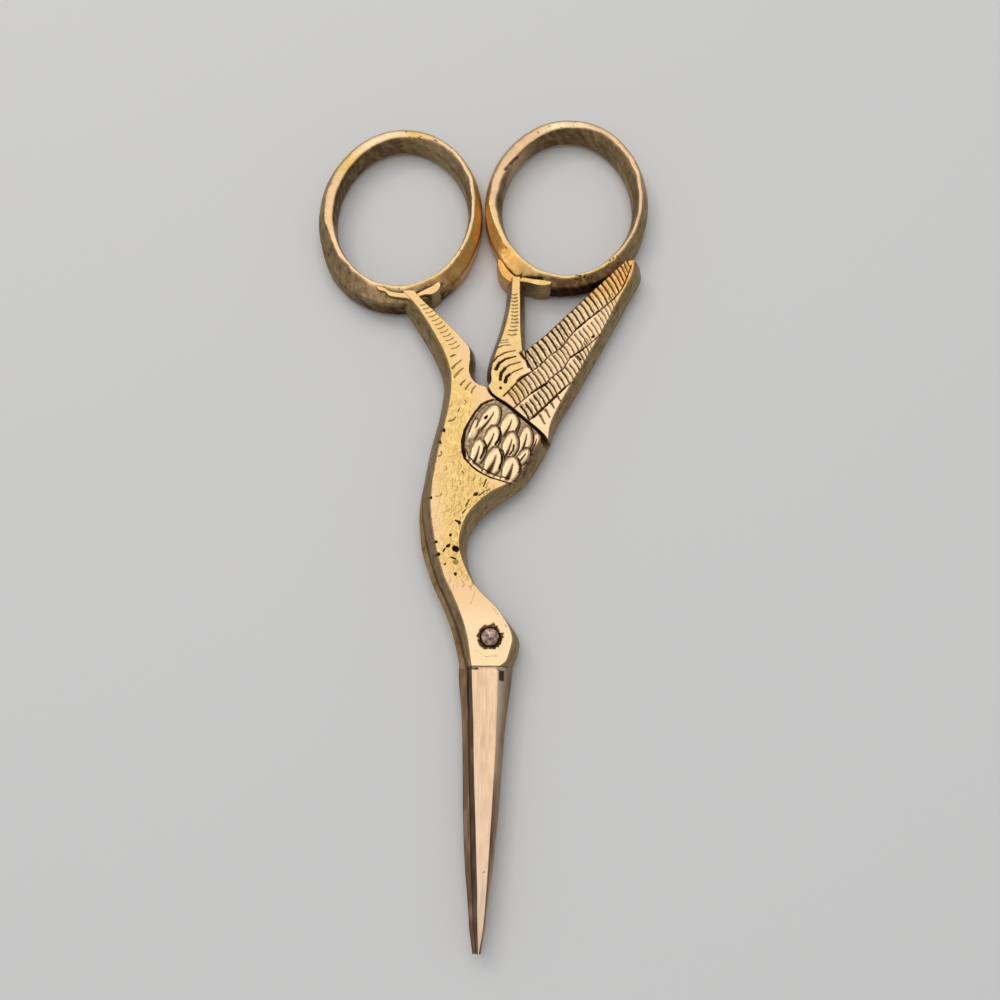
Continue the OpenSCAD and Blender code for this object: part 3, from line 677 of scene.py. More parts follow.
class Shell:
    """Rows of points of a layer, with their paint and the faces between them."""

    def __init__(self, points, height, marks, faces):
        self.rows, self.faces, self.count = [np.c_[points, height]], faces, len(points)
        self.paint = [(marks.tarnish, np.zeros(len(points)), marks.pale)]

    def row(self, xy, z, tarnish, wall):
        """Adds a closed row of points and gives their numbers."""
        n = len(xy)
        self.rows.append(np.c_[xy, np.broadcast_to(z, (n,))])
        self.paint.append([np.broadcast_to(value, (n,)) for value in (tarnish, wall, 0)])
        self.count += n
        return np.arange(self.count - n, self.count)

    def strip(self, a, b):
        """Faces between two rows."""
        for i, k in ring_edges(0, len(a)):
            self.faces.append((a[i], b[i], b[k], a[k]))

    def cap(self, rows):
        """Flat face inside the first row and outside the others."""
        xy = np.concatenate(self.rows)[:, :2]
        index = np.concatenate(rows)
        _, tris = triangulated([xy[row] for row in rows], np.zeros((0, 2)))
        self.faces += [(index[c], index[b], index[a]) for a, b, c in tris]


def slab(build, loop, top, step, engrave=None, holes=(), upside=1, gold=None, wall_tone=1.0, lap=LAP_GAP / 2):
    """Layer between mid thickness and a face, with a rounded edge, a sloping wall and an engraved face.

    top is the face's height above mid thickness, and upside is 1 for the front layer and -1 for the back one.
    holes are lists of (radius, height) from the face down, round the pivot.
    """
    face, mid = (softened(line) for line in loop)
    n = len(face)
    normal = softened(outward(face), 3)
    normal /= np.linalg.norm(normal, axis=1)[:, None] + 1e-9
    ease = np.minimum(ROUNDING, 0.3 * room(face))[:, None]
    rims = [circle(hole[0][0]) for hole in holes]
    outline = [face - normal * ease] + rims
    points, tris = triangulated(outline, grid_inside(outline, step))
    marks, edge_marks = Marks(points), Marks(face)
    if engrave:
        engrave(marks)
        engrave(edge_marks)
    lumps = -0.03 * noise(marks.x, marks.y, 1.5, 51) - 0.014 * noise(marks.x, marks.y, 0.5, 52)
    height = top - marks.depth + lumps
    height[n:n + sum(len(r) for r in rims)] = top - 0.1
    shell = Shell(points, height, marks, tris.tolist())

    previous = np.arange(n)
    drop = 0.7 * ease[:, 0]
    # The rounded edge is painted browner as it turns down, and the walls take wall_tone: painted shade,
    # partly patina
    for angle in (30, 60, 90):
        s, c = math.sin(math.radians(angle)), math.cos(math.radians(angle))
        current = shell.row(face - normal * ease * (1 - s), top - drop * (1 - c) - edge_marks.depth * 0.9,
                            edge_marks.tarnish * 0.9, 0.1 + 0.4 * angle / 90)
        shell.strip(previous, current)
        previous = current
    for k in range(1, WALL_ROWS + 1):
        s = k / WALL_ROWS
        run = (1 + WALL_SWELL) * s - WALL_SWELL * s * s
        shade = noise(face[:, 0] * 1.3 + k * 0.21, face[:, 1] * 1.3 - k * 0.13, 0.6, 53) - 0.5
        xy = face + (mid - face) * run + normal * (0.02 * shade * (s < 1))[:, None]
        z = (top - drop) * (1 - s) + lap * s - edge_marks.depth * 0.9 * (1 - s) ** 2
        # Darker down the wall, with a darker line at the lap between the layers
        darker_downwards = 0.26 * (s == 1) * (lap > 0) + 0.08 * s
        current = shell.row(xy, z, np.maximum(edge_marks.tarnish * 0.6 * (1 - s) ** 2, darker_downwards), wall_tone)
        shell.strip(previous, current)
        previous = current

    bottoms, start = [previous], n
    for hole, rim in zip(holes, rims):
        above = np.arange(start, start + len(rim))
        start += len(rim)
        for radius, z in hole:
            current = shell.row(circle(radius), z, 1.0, 0.6)
            shell.strip(above[::-1], current[::-1])
            above = current
        bottoms.append(above)
    shell.cap(bottoms)
    verts = np.concatenate(shell.rows)
    verts[:, 2] = MID + upside * verts[:, 2]
    faces = shell.faces if upside > 0 else [f[::-1] for f in shell.faces]
    tarnish, wall, pale = (np.concatenate(values) for values in zip(*shell.paint))
    build.add(verts, faces, tarnish, wall, gold(verts[:, 0], verts[:, 1]) if gold else 0.5, pale)


def round_table(rows, angles):
    """Columns of a table of hundredths by angle, joined smoothly right round."""
    angle, *columns = np.array(rows, float).T
    return [np.interp(angles, angle, column / 100, period=360) for column in columns]


# Points along each side of the rim's section, from the middle of the inner wall up, over and right round
RIM_POINTS = (12, 9, 9, 13, 24, 6, 12, 6, 10)

# Which of these sides are inner walls, the top and outer walls
RIM_KINDS = "iitoooooi"

# Size of the eased corners at the rim's back
LOW_EASE = 0.55


def grid_faces(around, width):
    """Four-sided faces over a grid of points that closes both ways."""
    i, j = np.meshgrid(np.arange(around), np.arange(width), indexing="ij")
    p, q = (i + 1) % around, (j + 1) % width
    return np.stack([i * width + j, i * width + q, p * width + q, p * width + j], -1).reshape(-1, 4).tolist()


def ring(build, centre, lean, shape, tones, engrave):
    """Finger ring with an egg-shaped line and a filed rim: a flat band between an inner and an outer slope.

    shape rows: angle, inner wall moved out, inner slope across and down, outer slope across and down, extra
    width outside, top lowered.
    tones rows: angle, gold and paleness on top, then wall, gold and tarnish of the outer slope, and wall and
    tarnish of the inner one. Paleness above 1 is a painted highlight on the top band, and the slopes' wall
    and tarnish are painted shade as well as patina and pits.
    """
    a = np.linspace(0, 360, RIM_STATIONS, endpoint=False)
    turn = np.radians(a)
    grow = 1 - RING_EGG * np.sin(turn)
    x, y = RING_RX * grow * np.cos(turn), RING_RY * np.sin(turn)
    out_x, out_y = np.cos(turn) * RING_RY, np.sin(turn) * RING_RX
    size = np.hypot(out_x, out_y)
    out_x, out_y = out_x / size, out_y / size
    in_off, in_w, in_h, out_w, out_h, low, drop = round_table(shape, a)
    gold, pale, wall, out_gold, out_dark, in_wall, in_dark = round_table(tones, a)
    wave = noise(x + 30, y + 30, 2.2, 64) - 0.5 + 0.4 * (noise(x + 30, y + 30, 0.8, 67) - 0.5)
    in_w, out_w = in_w * (1 + 0.3 * wave), out_w * (1 - 0.2 * wave)
    bottom, high, near, far = MID - RIM_INSET, MID - RIM_INSET - drop, in_off - RIM_W / 2, low + RIM_W / 2
    curl = 1.2 * LOW_EASE - bottom
    corners = [(near, 0), (near, high - in_h), (near + in_w, high), (far - out_w, high), (far, high - out_h),
               (far, curl), (far - LOW_EASE, -bottom), (near + LOW_EASE, -bottom), (near, curl)]
    corners = [np.stack(np.broadcast_arrays(*c, a), -1)[:, :2] for c in corners]
    section, kind = [], []
    for k, count in enumerate(RIM_POINTS):
        for t in np.arange(count) / count:
            section.append(corners[k] * (1 - t) + corners[(k + 1) % len(corners)] * t)
            kind.append([RIM_KINDS[k] == name for name in "ito"])
    section, kind = softened(np.stack(section, 1), 5, 1), softened(np.array(kind, float), 5)
    inner, top, outer = kind.T[:, None]
    c, s = math.cos(math.radians(-lean)), math.sin(math.radians(-lean))

    def place(cut):
        px, py = (line[:, None] + way[:, None] * cut[..., 0] for line, way in ((x, out_x), (y, out_y)))
        spots = [centre[0] + px * c - py * s, centre[1] + px * s + py * c, MID + cut[..., 1]]
        return np.stack(spots, -1).reshape(-1, 3)

    flat = place(section)
    u, v = flat[:, 0] + 0.7 * flat[:, 2], flat[:, 1] - 0.6 * flat[:, 2]
    pitted = (out_dark[:, None] * outer).ravel()
    worn = (0.05 * noise(u, v, 2.4, 61) + 0.035 * noise(u, v, 0.8, 62) + 0.012 * noise(u, v, 0.3, 63)
            + 0.16 * pitted * noise(u, v, 0.38, 68) ** 2).reshape(len(a), -1)
    depth = section / np.maximum(1.0, np.linalg.norm(section, axis=2, keepdims=True))
    verts = place(section - depth * worn[..., None])
    marks = Marks(verts[:, :2])
    engrave(marks)
    up = unit((verts[:, 2] - MID - 0.9) / 0.5)
    verts[:, 2] -= marks.depth * up
    deep = unit((MID + 1.2 - verts[:, 2].reshape(section.shape[:2])) / 0.9)
    # Painted shade, partly patina and pits: the slopes darken by angle round the ring, and the outer one
    # darkens further down
    tarnish = (in_dark[:, None] * inner + out_dark[:, None] * outer * (0.45 + 0.75 * deep)).ravel()
    film = 0.1 * unit(noise(u, v, 1.8, 70) * 2 - 0.7)
    tarnish = np.maximum(tarnish * (0.55 + 0.9 * noise(u, v, 0.6, 69)), film)
    # Paleness above 1 on the top band is a painted highlight
    build.add(verts, grid_faces(*section.shape[:2]), np.maximum(tarnish, marks.tarnish * up),
              (in_wall[:, None] * inner + wall[:, None] * outer).ravel(),
              (0.6 * gold[:, None] * inner + gold[:, None] * top + out_gold[:, None] * outer).ravel(),
              (pale[:, None] * top).ravel())


def smooth_line(points):
    """Evenly spaced smooth closed curve through the points."""
    points = np.array(points, float)
    out = []
    for i in range(len(points)):
        a, b, c, d = (points[(i + k) % len(points)] for k in (-1, 0, 1, 2))
        for t in np.linspace(0, 1, CURVE_POINTS, endpoint=False):
            out.append(0.5 * (2 * b + (c - a) * t + (2 * a - 5 * b + 4 * c - d) * t * t
                              + (3 * b - a - 3 * c + d) * t ** 3))
    loop = np.array(out + out[:1])
    length = travelled(loop)
    return resampled(loop, length, int(length[-1] / EDGE_STEP))


def toe(build, outline, top, low_top, gold, wall_tone=0.8):
    """Toe of the foot: a low block with a flat, worn top and steep sides, on both layers."""
    face = smooth_line(outline)
    face = face if anticlockwise(face) else face[::-1]
    loop = (face, face + outward(face) * TOE_SPREAD)
    slab(build, loop, top, FACE_STEP, gold=gold, wall_tone=wall_tone, lap=0)
    slab(build, loop, low_top, BACK_STEP, upside=-1, gold=gold, wall_tone=wall_tone, lap=0)


# Blade, from the root to the tip: height, back, facet and edge beside the blade's line
BLADE_ROWS = [(y, back * BLADE_W, facet, edge * BLADE_W) for y, back, facet, edge in (
    (ROOT_Y + 1.2, 0.6, 1.5, 0.4), (ROOT_Y - 0.8, 0.61, 1.45, 0.4), (-BLADE_L * 0.28, 0.485, 1.45, 0.335),
    (-BLADE_L * 0.45, 0.41, 1.3, 0.28), (-BLADE_L * 0.62, 0.35, 1.05, 0.21),
    (-BLADE_L * 0.78, 0.28, 0.8, 0.145), (-BLADE_L * 0.92, 0.165, 0.5, 0.08))]
BLADE_ROWS.append((-BLADE_L, 0.12, 0.06, 0.08))


def eased(outline, size):
    """Outline with each corner cut by a short curve."""
    out = []
    n = len(outline)
    for i, p in enumerate(outline):
        a, b = outline[i - 1] - p, outline[(i + 1) % n] - p
        cut = min(size, 0.4 * np.linalg.norm(a), 0.4 * np.linalg.norm(b))
        a, b = p + a / (np.linalg.norm(a) + 1e-9) * cut, p + b / (np.linalg.norm(b) + 1e-9) * cut
        for t in np.linspace(0, 1, BEND_POINTS):
            out.append(a * (1 - t) ** 2 + 2 * p * t * (1 - t) + b * t * t)
    return out


# Points added along the straight sides of a blade's section, from the cutting edge round to the inner face
BLADE_POINTS = (1, 4, 4, 18, 12, 3, 18)

# How brown each side is, from 0 for bright steel: at its start and end, by the root and then low down
# The brown is painted shade on the bevels and inner faces, partly tarnish
FRONT_BLADE_TONES = ((0.6, 0.6, 0.8, 0.8), (0.6, 0.85, 0.8, 0.9), (0.95, 0.95, 0.95, 0.95), (0, 0, 0, 0),
                     (0.0, 0.62, 1.0, 0.45), (0.6, 0.6, 0.5, 0.5), (0.8, 0.8, 0.8, 0.8))
BACK_BLADE_TONES = ((0.95, 0.95, 0.9, 0.9), (0.9, 0.9, 0.9, 0.9), (0.6, 0.6, 0.6, 0.6), (0.1, 0.1, 0.1, 0.1),
                    (0.2, 0.9, 0.2, 0.9), (0.8, 0.8, 0.7, 0.7), (1, 1, 1, 1))


def blade(build, root_x, tip_x, side, tones, wide, narrow, engrave=None):
    """Ground blade with a bright facet, a bevel towards the spine and a thin cutting edge.

    wide is how far the cutting edge stands out of its line, and narrow how far the spine's root stays inside.
    """
    heights = np.append(np.arange(BLADE_ROWS[0][0], -BLADE_L, -BLADE_STEP), -BLADE_L)
    verts, tone, glint = [], [], []
    for y, row in zip(heights, spline(BLADE_ROWS, heights)):
        down = (ROOT_Y - y) / (BLADE_L + ROOT_Y)
        axis = root_x + (tip_x - root_x) * down
        top = LAP_GAP / 2 + BLADE_T + (TIP_T - BLADE_T) * max(0, down)
        spine = LAP_GAP / 2 + min(SPINE_T, top - 0.1)
        bevel = min(0.35, row[3] * 0.5)
        edge = row[3] + wide * min(1, 0.75 + (1 - down))
        bevel += edge - row[3]
        facet = max(row[2], bevel - edge + 0.02)
        slim = float(np.interp(down, [0.5, 0.68, 0.8, 0.88, 0.95, 1.0], [0, 0.12, 0.22, 0.18, 0, -0.2]))
        back = max(row[1] - narrow * max(0, 1 - 1.6 * down) - slim, row[2] + 0.02)
        low = LAP_GAP / 2 + 0.015 * (y > ROOT_Y)
        corners = [(-edge, low), (-edge, low + 0.1), (-edge + bevel * 0.5, low + 0.62 * (top - low)),
                   (-edge + bevel, top), (facet, top), (back, spine), (back, low)]
        bends = eased([np.array(p) for p in corners], 0.08)
        lower = min(1, max(0, (down - 0.3) / 0.3))
        for k, count in enumerate(BLADE_POINTS):
            bend = bends[BEND_POINTS * k: BEND_POINTS * (k + 1)]
            after = bends[BEND_POINTS * (k + 1) % len(bends)]
            straight = [bend[-1] + (after - bend[-1]) * (m + 1) / (count + 1) for m in range(count)]
            for m, p in enumerate(bend + straight):
                verts.append((axis + side * p[0], y, MID + side * p[1]))
                share = max(0, m - 1) / (len(bend) + count - 2) if m > 1 else 1
                weights = [(1 - share) * (1 - lower), share * (1 - lower), (1 - share) * lower, share * lower]
                tone.append(float(np.dot(weights, tones[k] if m > 1 else tones[k - 1])))
                glint.append((k == 4) * (side > 0) * max(0, 1 - 1.3 * share) * max(0, 1 - 2.2 * down))
    rows, width = len(heights), len(verts) // len(heights)
    faces = grid_faces(rows, width)[:(rows - 1) * width]
    faces.append(tuple(range(width))[::-1])
    faces.append(tuple(range((rows - 1) * width, rows * width)))
    verts, tone = np.array(verts), np.array(tone)
    worn = 0.02 * noise(verts[:, 0] + side, verts[:, 1] * 0.3, 0.5, 65)
    verts[:, 2] -= side * worn * (np.abs(verts[:, 2] - MID) > 0.4)
    # Painted shadow along the blade's top end, under the head
    root = unit((verts[:, 1] - ROOT_Y + 0.3) / 0.4) * 0.2
    marks = Marks(verts[:, :2])
    if engrave:
        engrave(marks)
    up = unit((side * (verts[:, 2] - MID) - 0.3) / 0.2)
    verts[:, 2] -= side * marks.depth * up
    tone = unit(tone + 0.35 * (noise(verts[:, 0] * 2, verts[:, 1] * 0.4, 0.7, 66) - 0.5))
    build.add(verts, faces, np.maximum(root, marks.tarnish * up), tone, 0.0, glint)


def mark_blade(marks):
    """Notch beside the head, a dark line under it and a scratch near the tip."""
    # The notch is darkened, with a soft painted shade fading below it
    for across in (1.2, 1.36, 1.52, 1.66):
        marks.stroke([(across, -4.15), (across, -5.2)], 0.36, 0.3, 0.04, 0.8, 0.15)
        marks.stroke([(across, -5), (across - 0.05, -6.6)], 0.5, 0.2, 0.02, 0.2, 0.2)
    # The first three strokes are the dark line under the head, a painted shadow along a shallow groove; the
    # last is a scratch
    marks.strokes([
        ([(-2.7, -3.8), (-1.9, -3.78), (-1.35, -3.9)], 0.2, 0.12, 0.12, 1, 0.4),
        ([(-1.6, -3.78), (0.4, -3.84), (1.9, -3.82)], 0.1, 0.12, 0.04, 0.3, 0.5),
        ([(0.7, -3.9), (1.3, -4), (1.9, -4.1)], 0.16, 0.12, 0.08, 0.5, 0.5),
        ([(-0.75, -27.45), (-0.45, -27.3)], 0.12, 0.1, 0.05, 0.7)])


# Outlines of the layers

def met(edge, seam, side):
    """Cuts an edge short where it meets a seam below it, and the seam above; side is -1 left of the seam."""
    line = np.interp(-edge[:, 0], -seam[:, 0], seam[:, 1], left=seam[0, 1] - side * 9)
    clear = np.append((line - edge[:, 1]) * side < 0, False)
    keep = slice(int(np.argmin(clear)))
    edge, line = edge[keep].copy(), line[keep]
    edge[:, 2] = np.where((line - edge[:, 2]) * side < 0, edge[:, 2], line)
    return edge, seam[seam[:, 0] < edge[-1, 0] - 0.02]


def left_leg(seam):
    """Right side of the left leg, and the seam below it."""
    return met(side_of(LEFT_LEG_INNER, LEFT_TOP, FORK_Y, 1), seam, -1)


def right_leg(seam):
    """Left side of the right leg, and the seam below it."""
    return met(side_of(RIGHT_LEG_OUTER, RIGHT_TOP, FORK_Y, -1), seam, 1)


def crotch():
    """Sides of the wing and the right leg that face each other."""
    leg = side_of(RIGHT_LEG_INNER, RIGHT_TOP, CROTCH_Y, 1)
    return side_of(WING_INNER, WING_TOP, CROTCH_Y, -1), leg[::-1]


def front_top_loop():
    left = side_of(LEFT_LEG_OUTER, LEFT_TOP, ROOT_Y, -1)
    leg, seam = left_leg(seam_side(FRONT_SEAM, BREAST_Y + 7, -1, -1))
    face, run = on_rail(BELLY, np.minimum(seam[:, 0], BELLY_TOP))
    face = np.where(seam[:, 0] > BELLY_TOP, 99, face)
    seam[:, 2] = np.minimum(seam[:, 1], face + run)
    seam[:, 1] = np.minimum(seam[:, 1], face)
    belly = side_of(BELLY, BREAST_Y + 7, ROOT_Y, 1)
    return spaced([leg, seam, belly, left[::-1]])


def front_bottom_loop():
    leg, seam = left_leg(seam_side(BACK_SEAM, FORK_Y - 8, -1, 1))
    face, run = on_rail(LEFT_LEG_OUTER, seam[:, 0])
    corner = seam[seam[:, 1] > face][-1]
    seam = seam[seam[:, 1] > face - run]
    left = side_of(LEFT_LEG_OUTER, LEFT_TOP, float(seam[-1, 0]), -1)
    low = [np.c_[e, e[:, 0]] for e in (leg, seam, left[::-1])]
    for edge in low[1:]:
        edge[edge[:, 0] < corner[0], :2] = corner[:2]
    return spaced(low)


def back_top_loop():
    leg, seam = right_leg(seam_side(FRONT_SEAM, FORK_Y - 8, 1, 1))
    outer = side_of(WING_OUTER, WING_TOP, FORK_Y - 8, 1)
    seam = seam[seam[:, 1] < np.interp(-seam[:, 0], -outer[:, 0], outer[:, 1]) - 0.05]
    outer = outer[outer[:, 0] > seam[-1, 0]]
    return spaced([leg, seam, outer[::-1], *crotch()])


def back_bottom_loop():
    leg, seam = right_leg(seam_side(BACK_SEAM, FORK_Y - 6.6, 1, -1))
    x, run = on_rail(LEFT_LEG_OUTER, seam[:, 0])
    seam[:, 2] = np.maximum(seam[:, 1], x - run)
    seam[:, 1] = np.maximum(seam[:, 1], x)
    left = side_of(LEFT_LEG_OUTER, FORK_Y - 6.6, ROOT_Y, -1, layer_shift)
    belly = side_of(BELLY, BREAST_Y + 8, ROOT_Y, 1, layer_shift)
    outer = side_of(WING_OUTER, WING_TOP, BREAST_Y + 8.2, 1)
    return spaced([leg, seam, left, belly[::-1], outer[::-1], *crotch()])


# Finishes

PINK_NICKEL = (0.68, 0.45, 0.252)
OLD_GOLD = (0.66, 0.44, 0.16)
ORANGE_GOLD = (0.68, 0.34, 0.085)
DULL_GOLD = (0.34, 0.22, 0.075)
BRIGHT_GOLD = (0.83, 0.61, 0.25)
# Bright flecks: partly wear, partly painted highlight
WEAR_AND_GLINT_FLECKS = (0.80, 0.58, 0.33)
PALE_NICKEL = (0.755, 0.555, 0.325)
# Painted highlight for the rings' top bands
PAINTED_GLINT = (0.95, 0.83, 0.53)
# Wall colours: brown of painted shade, partly patina, with lighter and darker streaks
WALL_BROWN = (0.27, 0.18, 0.098)
WALL_OLIVE = (0.33, 0.24, 0.105)
WALL_WORN = (0.44, 0.33, 0.21)
WALL_DARK = (0.12, 0.075, 0.045)
NEAR_BLACK = (0.030, 0.015, 0.008)
RUST = (0.11, 0.05, 0.02)
CUT_BROWN = (0.12, 0.062, 0.024)
BLADE_TAN = (0.62, 0.42, 0.27)
BLADE_PINK = (0.72, 0.49, 0.33)
BLADE_BRIGHT = (0.80, 0.58, 0.41)
BLADE_GLINT = (0.96, 0.78, 0.58)
BLADE_BROWN = (0.12, 0.072, 0.042)
SCREW_DARK = (0.26, 0.16, 0.13)
SCREW_GREY = (0.64, 0.42, 0.31)
SCREW_BRIGHT = (0.82, 0.70, 0.62)


class Look:
    """A material whose colour, roughness and bump come from noises and from the paint on the mesh."""

    def __init__(self, name):
        self.material = bpy.data.materials.new(name)
        self.material.use_nodes = True
        self.tree = self.material.node_tree
        self.tree.nodes.clear()
        self.shader = self.node("BsdfPrincipled", {})
        self.node("OutputMaterial", {"Surface": self.shader.outputs[0]})
        self.place = self.node("TexCoord", {}).outputs["Object"]

    def feed(self, socket, value):
        """Sets a socket to a number, a colour or a vector, or links it to another node's value."""
        if isinstance(value, (int, float)):
            socket.default_value = value
        elif isinstance(value, tuple):
            socket.default_value = (*value, 1) if socket.type == "RGBA" else value
        else:
            self.tree.links.new(value, socket)

    def node(self, kind, values, **settings):
        """New node with its settings made and these sockets fed."""
        node = self.tree.nodes.new("ShaderNode" + kind)
        for name, value in settings.items():
            setattr(node, name, value)
        for name, value in values.items():
            self.feed(node.inputs[name], value)
        return node

    def paint(self, name):
        return self.node("Attribute", {}, attribute_name=name).outputs["Fac"]

    def mix(self, factor, a, b):
        return self.node("Mix", {0: factor, 6: a, 7: b}, data_type="RGBA").outputs[2]

    def maths(self, operation, *values, clamp=False):
        return self.node("Math", dict(enumerate(values)), operation=operation, use_clamp=clamp).outputs[0]

    def total(self, value, *shares):
        """The value and a share of each of the others."""
        for other, share in shares:
            value = self.maths("ADD", value, self.maths("MULTIPLY", other, share))
        return value

    def ramp(self, value, low, high):
        """Smooth step from 0 at low to 1 at high."""
        limits = {"Value": value, "From Min": low, "From Max": high}
        return self.node("MapRange", limits, interpolation_type="SMOOTHSTEP").outputs["Result"]

    def coats(self, colour, *coats):
        """Colour with coats over it: each coat's colour, and the value and limits that it fades in by."""
        for coat, value, low, high in coats:
            colour = self.mix(self.ramp(value, low, high), colour, coat)
        return colour

    def speckle(self, scale, detail, rough, stretch=None):
        """Noise at a scale in features a metre, on the piece's own coordinates."""
        place = self.place
        if stretch:
            place = self.node("Mapping", {"Vector": place, "Scale": stretch}).outputs["Vector"]
        values = {"Vector": place, "Scale": scale, "Detail": detail, "Roughness": rough}
        return self.node("TexNoise", values).outputs["Fac"]

    def metal(self, colour, metallic, rough, height, strength, distance):
        """The finished material: colour, roughness and bump joined to the shader."""
        bump = self.node("Bump", {"Height": height, "Strength": strength, "Distance": distance})
        for name, value in (("Base Color", colour), ("Metallic", metallic), ("Roughness", rough),
                            ("Normal", bump.outputs["Normal"])):
            self.feed(self.shader.inputs[name], value)
        return self.material


def gilt(name):
    """Worn gilding over nickel: pinkish, gold or orange by zone, brown walls and near black cuts."""
    look = Look(name)
    cloud, fine, grit = look.speckle(260, 5, 0.62), look.speckle(1900, 5, 0.65), look.speckle(6500, 3, 0.6)
    dapple = look.speckle(820, 3, 0.6)
    scratch = look.speckle(900, 4, 0.55, stretch=(6.0, 0.7, 6.0))
    streak = look.speckle(1500, 4, 0.6, stretch=(1.0, 0.35, 2.2))
    tarnish, wall, gold, pale = (look.paint(key) for key in PAINTS)

    swings = [look.maths("SUBTRACT", value, 0.5) for value in (cloud, fine, dapple)]
    zone = look.total(gold, (swings[0], 1.3), (swings[1], 0.7))
    colour = look.coats(PINK_NICKEL, (OLD_GOLD, zone, 0.15, 0.85), (ORANGE_GOLD, zone, 1.05, 1.9))
    golden = look.ramp(gold, 0.3, 0.9)
    contour = look.ramp(look.maths("ABSOLUTE", swings[2]), 0.06, 0.0)
    for spots, share, tone in ((contour, 0.22, DULL_GOLD), (look.ramp(dapple, 0.5, 0.7), 0.4, BRIGHT_GOLD)):
        factor = look.maths("MULTIPLY", look.maths("MULTIPLY", spots, golden), share)
        colour = look.mix(factor, colour, tone)
    # Paleness up to 1 is worn-through nickel; above 1 it is a painted highlight on the rings' top bands
    colour = look.coats(colour, (WEAR_AND_GLINT_FLECKS, fine, 0.56, 0.8), (PALE_NICKEL, pale, 0.0, 1.0),
                        (PAINTED_GLINT, pale, 1.0, 2.0))

    # Brown walls: painted shade, partly patina
    brown = look.coats(WALL_BROWN, (WALL_OLIVE, cloud, 0.3, 0.7), (WALL_WORN, streak, 0.5, 0.75),
                       (WALL_DARK, streak, 0.47, 0.3), (OLD_GOLD, grit, 0.64, 0.76))
    near_black = look.coats(NEAR_BLACK, (RUST, fine, 0.35, 0.65))
    # Darkness: corrosion and patina in cuts and pits, and painted shade and shadow where marks stand for them
    dirt_and_shade = look.maths("MULTIPLY", tarnish, look.total(0.8, (grit, 0.4)), clamp=True)
    colour = look.coats(look.mix(wall, colour, brown), (CUT_BROWN, dirt_and_shade, 0.03, 0.72), (near_black, dirt_and_shade, 0.6, 0.98))
    rough = look.total(0.24, (fine, 0.14), (wall, 0.1), (dirt_and_shade, 0.35))
    height = look.total(look.maths("MULTIPLY", fine, 0.7), (scratch, 0.5))
    return look.metal(colour, 1.0, rough, height, 0.4, 0.00005)


def nickel(name):
    """Ground blade steel with a warm nickel tone and fine scratches along the blade."""
    look = Look(name)
    cloud, fine = look.speckle(210, 4, 0.6), look.speckle(2600, 4, 0.6)
    grain = look.speckle(2400, 3, 0.6, stretch=(3.0, 0.12, 3.0))
    height = look.node("SeparateXYZ", {"Vector": look.place}).outputs["Y"]
    tone = look.coats(BLADE_TAN, (BLADE_PINK, cloud, 0.3, 0.75), (BLADE_BRIGHT, grain, 0.45, 0.8),
                      (BLADE_BRIGHT, height, -0.012, -0.034))
    # Brown on the bevels and inner faces is painted shade, partly tarnish; the pale paint is a painted glint
    # on the front blade's spine bevel near the root
    tone = look.mix(look.paint("wall"), tone, BLADE_BROWN)
    tone = look.mix(look.paint("pale"), tone, BLADE_GLINT)
    colour = look.coats(tone, (look.mix(fine, NEAR_BLACK, RUST), look.paint("tarnish"), 0.1, 0.9))
    rough, height = look.total(0.24, (fine, 0.16)), look.total(grain, (fine, 0.5))
    return look.metal(colour, 1.0, rough, height, 0.3, 0.00003)


def corroded(name):
    """Grey-brown corroded steel of the screw, dark at its rim."""
    look = Look(name)
    cloud, fine = look.speckle(900, 5, 0.65), look.speckle(4200, 4, 0.65)
    tone = look.coats(SCREW_DARK, (SCREW_GREY, cloud, 0.36, 0.62), (SCREW_BRIGHT, fine, 0.52, 0.68))
    tone = look.mix(look.paint("tarnish"), tone, NEAR_BLACK)
    return look.metal(tone, 0.85, look.total(0.28, (fine, 0.3)), look.maths("ADD", cloud, fine), 0.6, 0.00008)


# Pieces

def front_gold(x, y):
    """Richer gold down the middle of the body and neck, pinkish at its edges and on the head."""
    middle = np.interp(y, [4, 10, 17, 22, 26, 34, 49], [-3, -5, -3.2, -2.6, -4.4, -4.2, -9])
    width = np.interp(y, [8, 14, 20, 27], [1.8, 2.4, 3.6, 2.2])
    band = line_at(x, middle, width) * unit((y - 6) / 4)
    legs = unit((y - 32) / 6)
    return 0.22 + 0.85 * band * (1 - 0.45 * legs)


def back_gold(x, y):
    """Gold thigh and leg, a gilt edge and tip on the wing, and pinkish wing rows."""
    from_edge = (x - 4.7) * 0.705 - (y - 40) * 0.71
    wing = 0.2 + 0.8 * np.exp(-np.clip(from_edge, 0, 9) / 1.5) + 1.5 * unit((y - 45) / 6)
    leg = 0.75 + 0.5 * unit((y - 46) / 5)
    return np.where((x < 4.6) & (y > 33), leg, np.where(y > 24, wing, front_gold(x, y)))


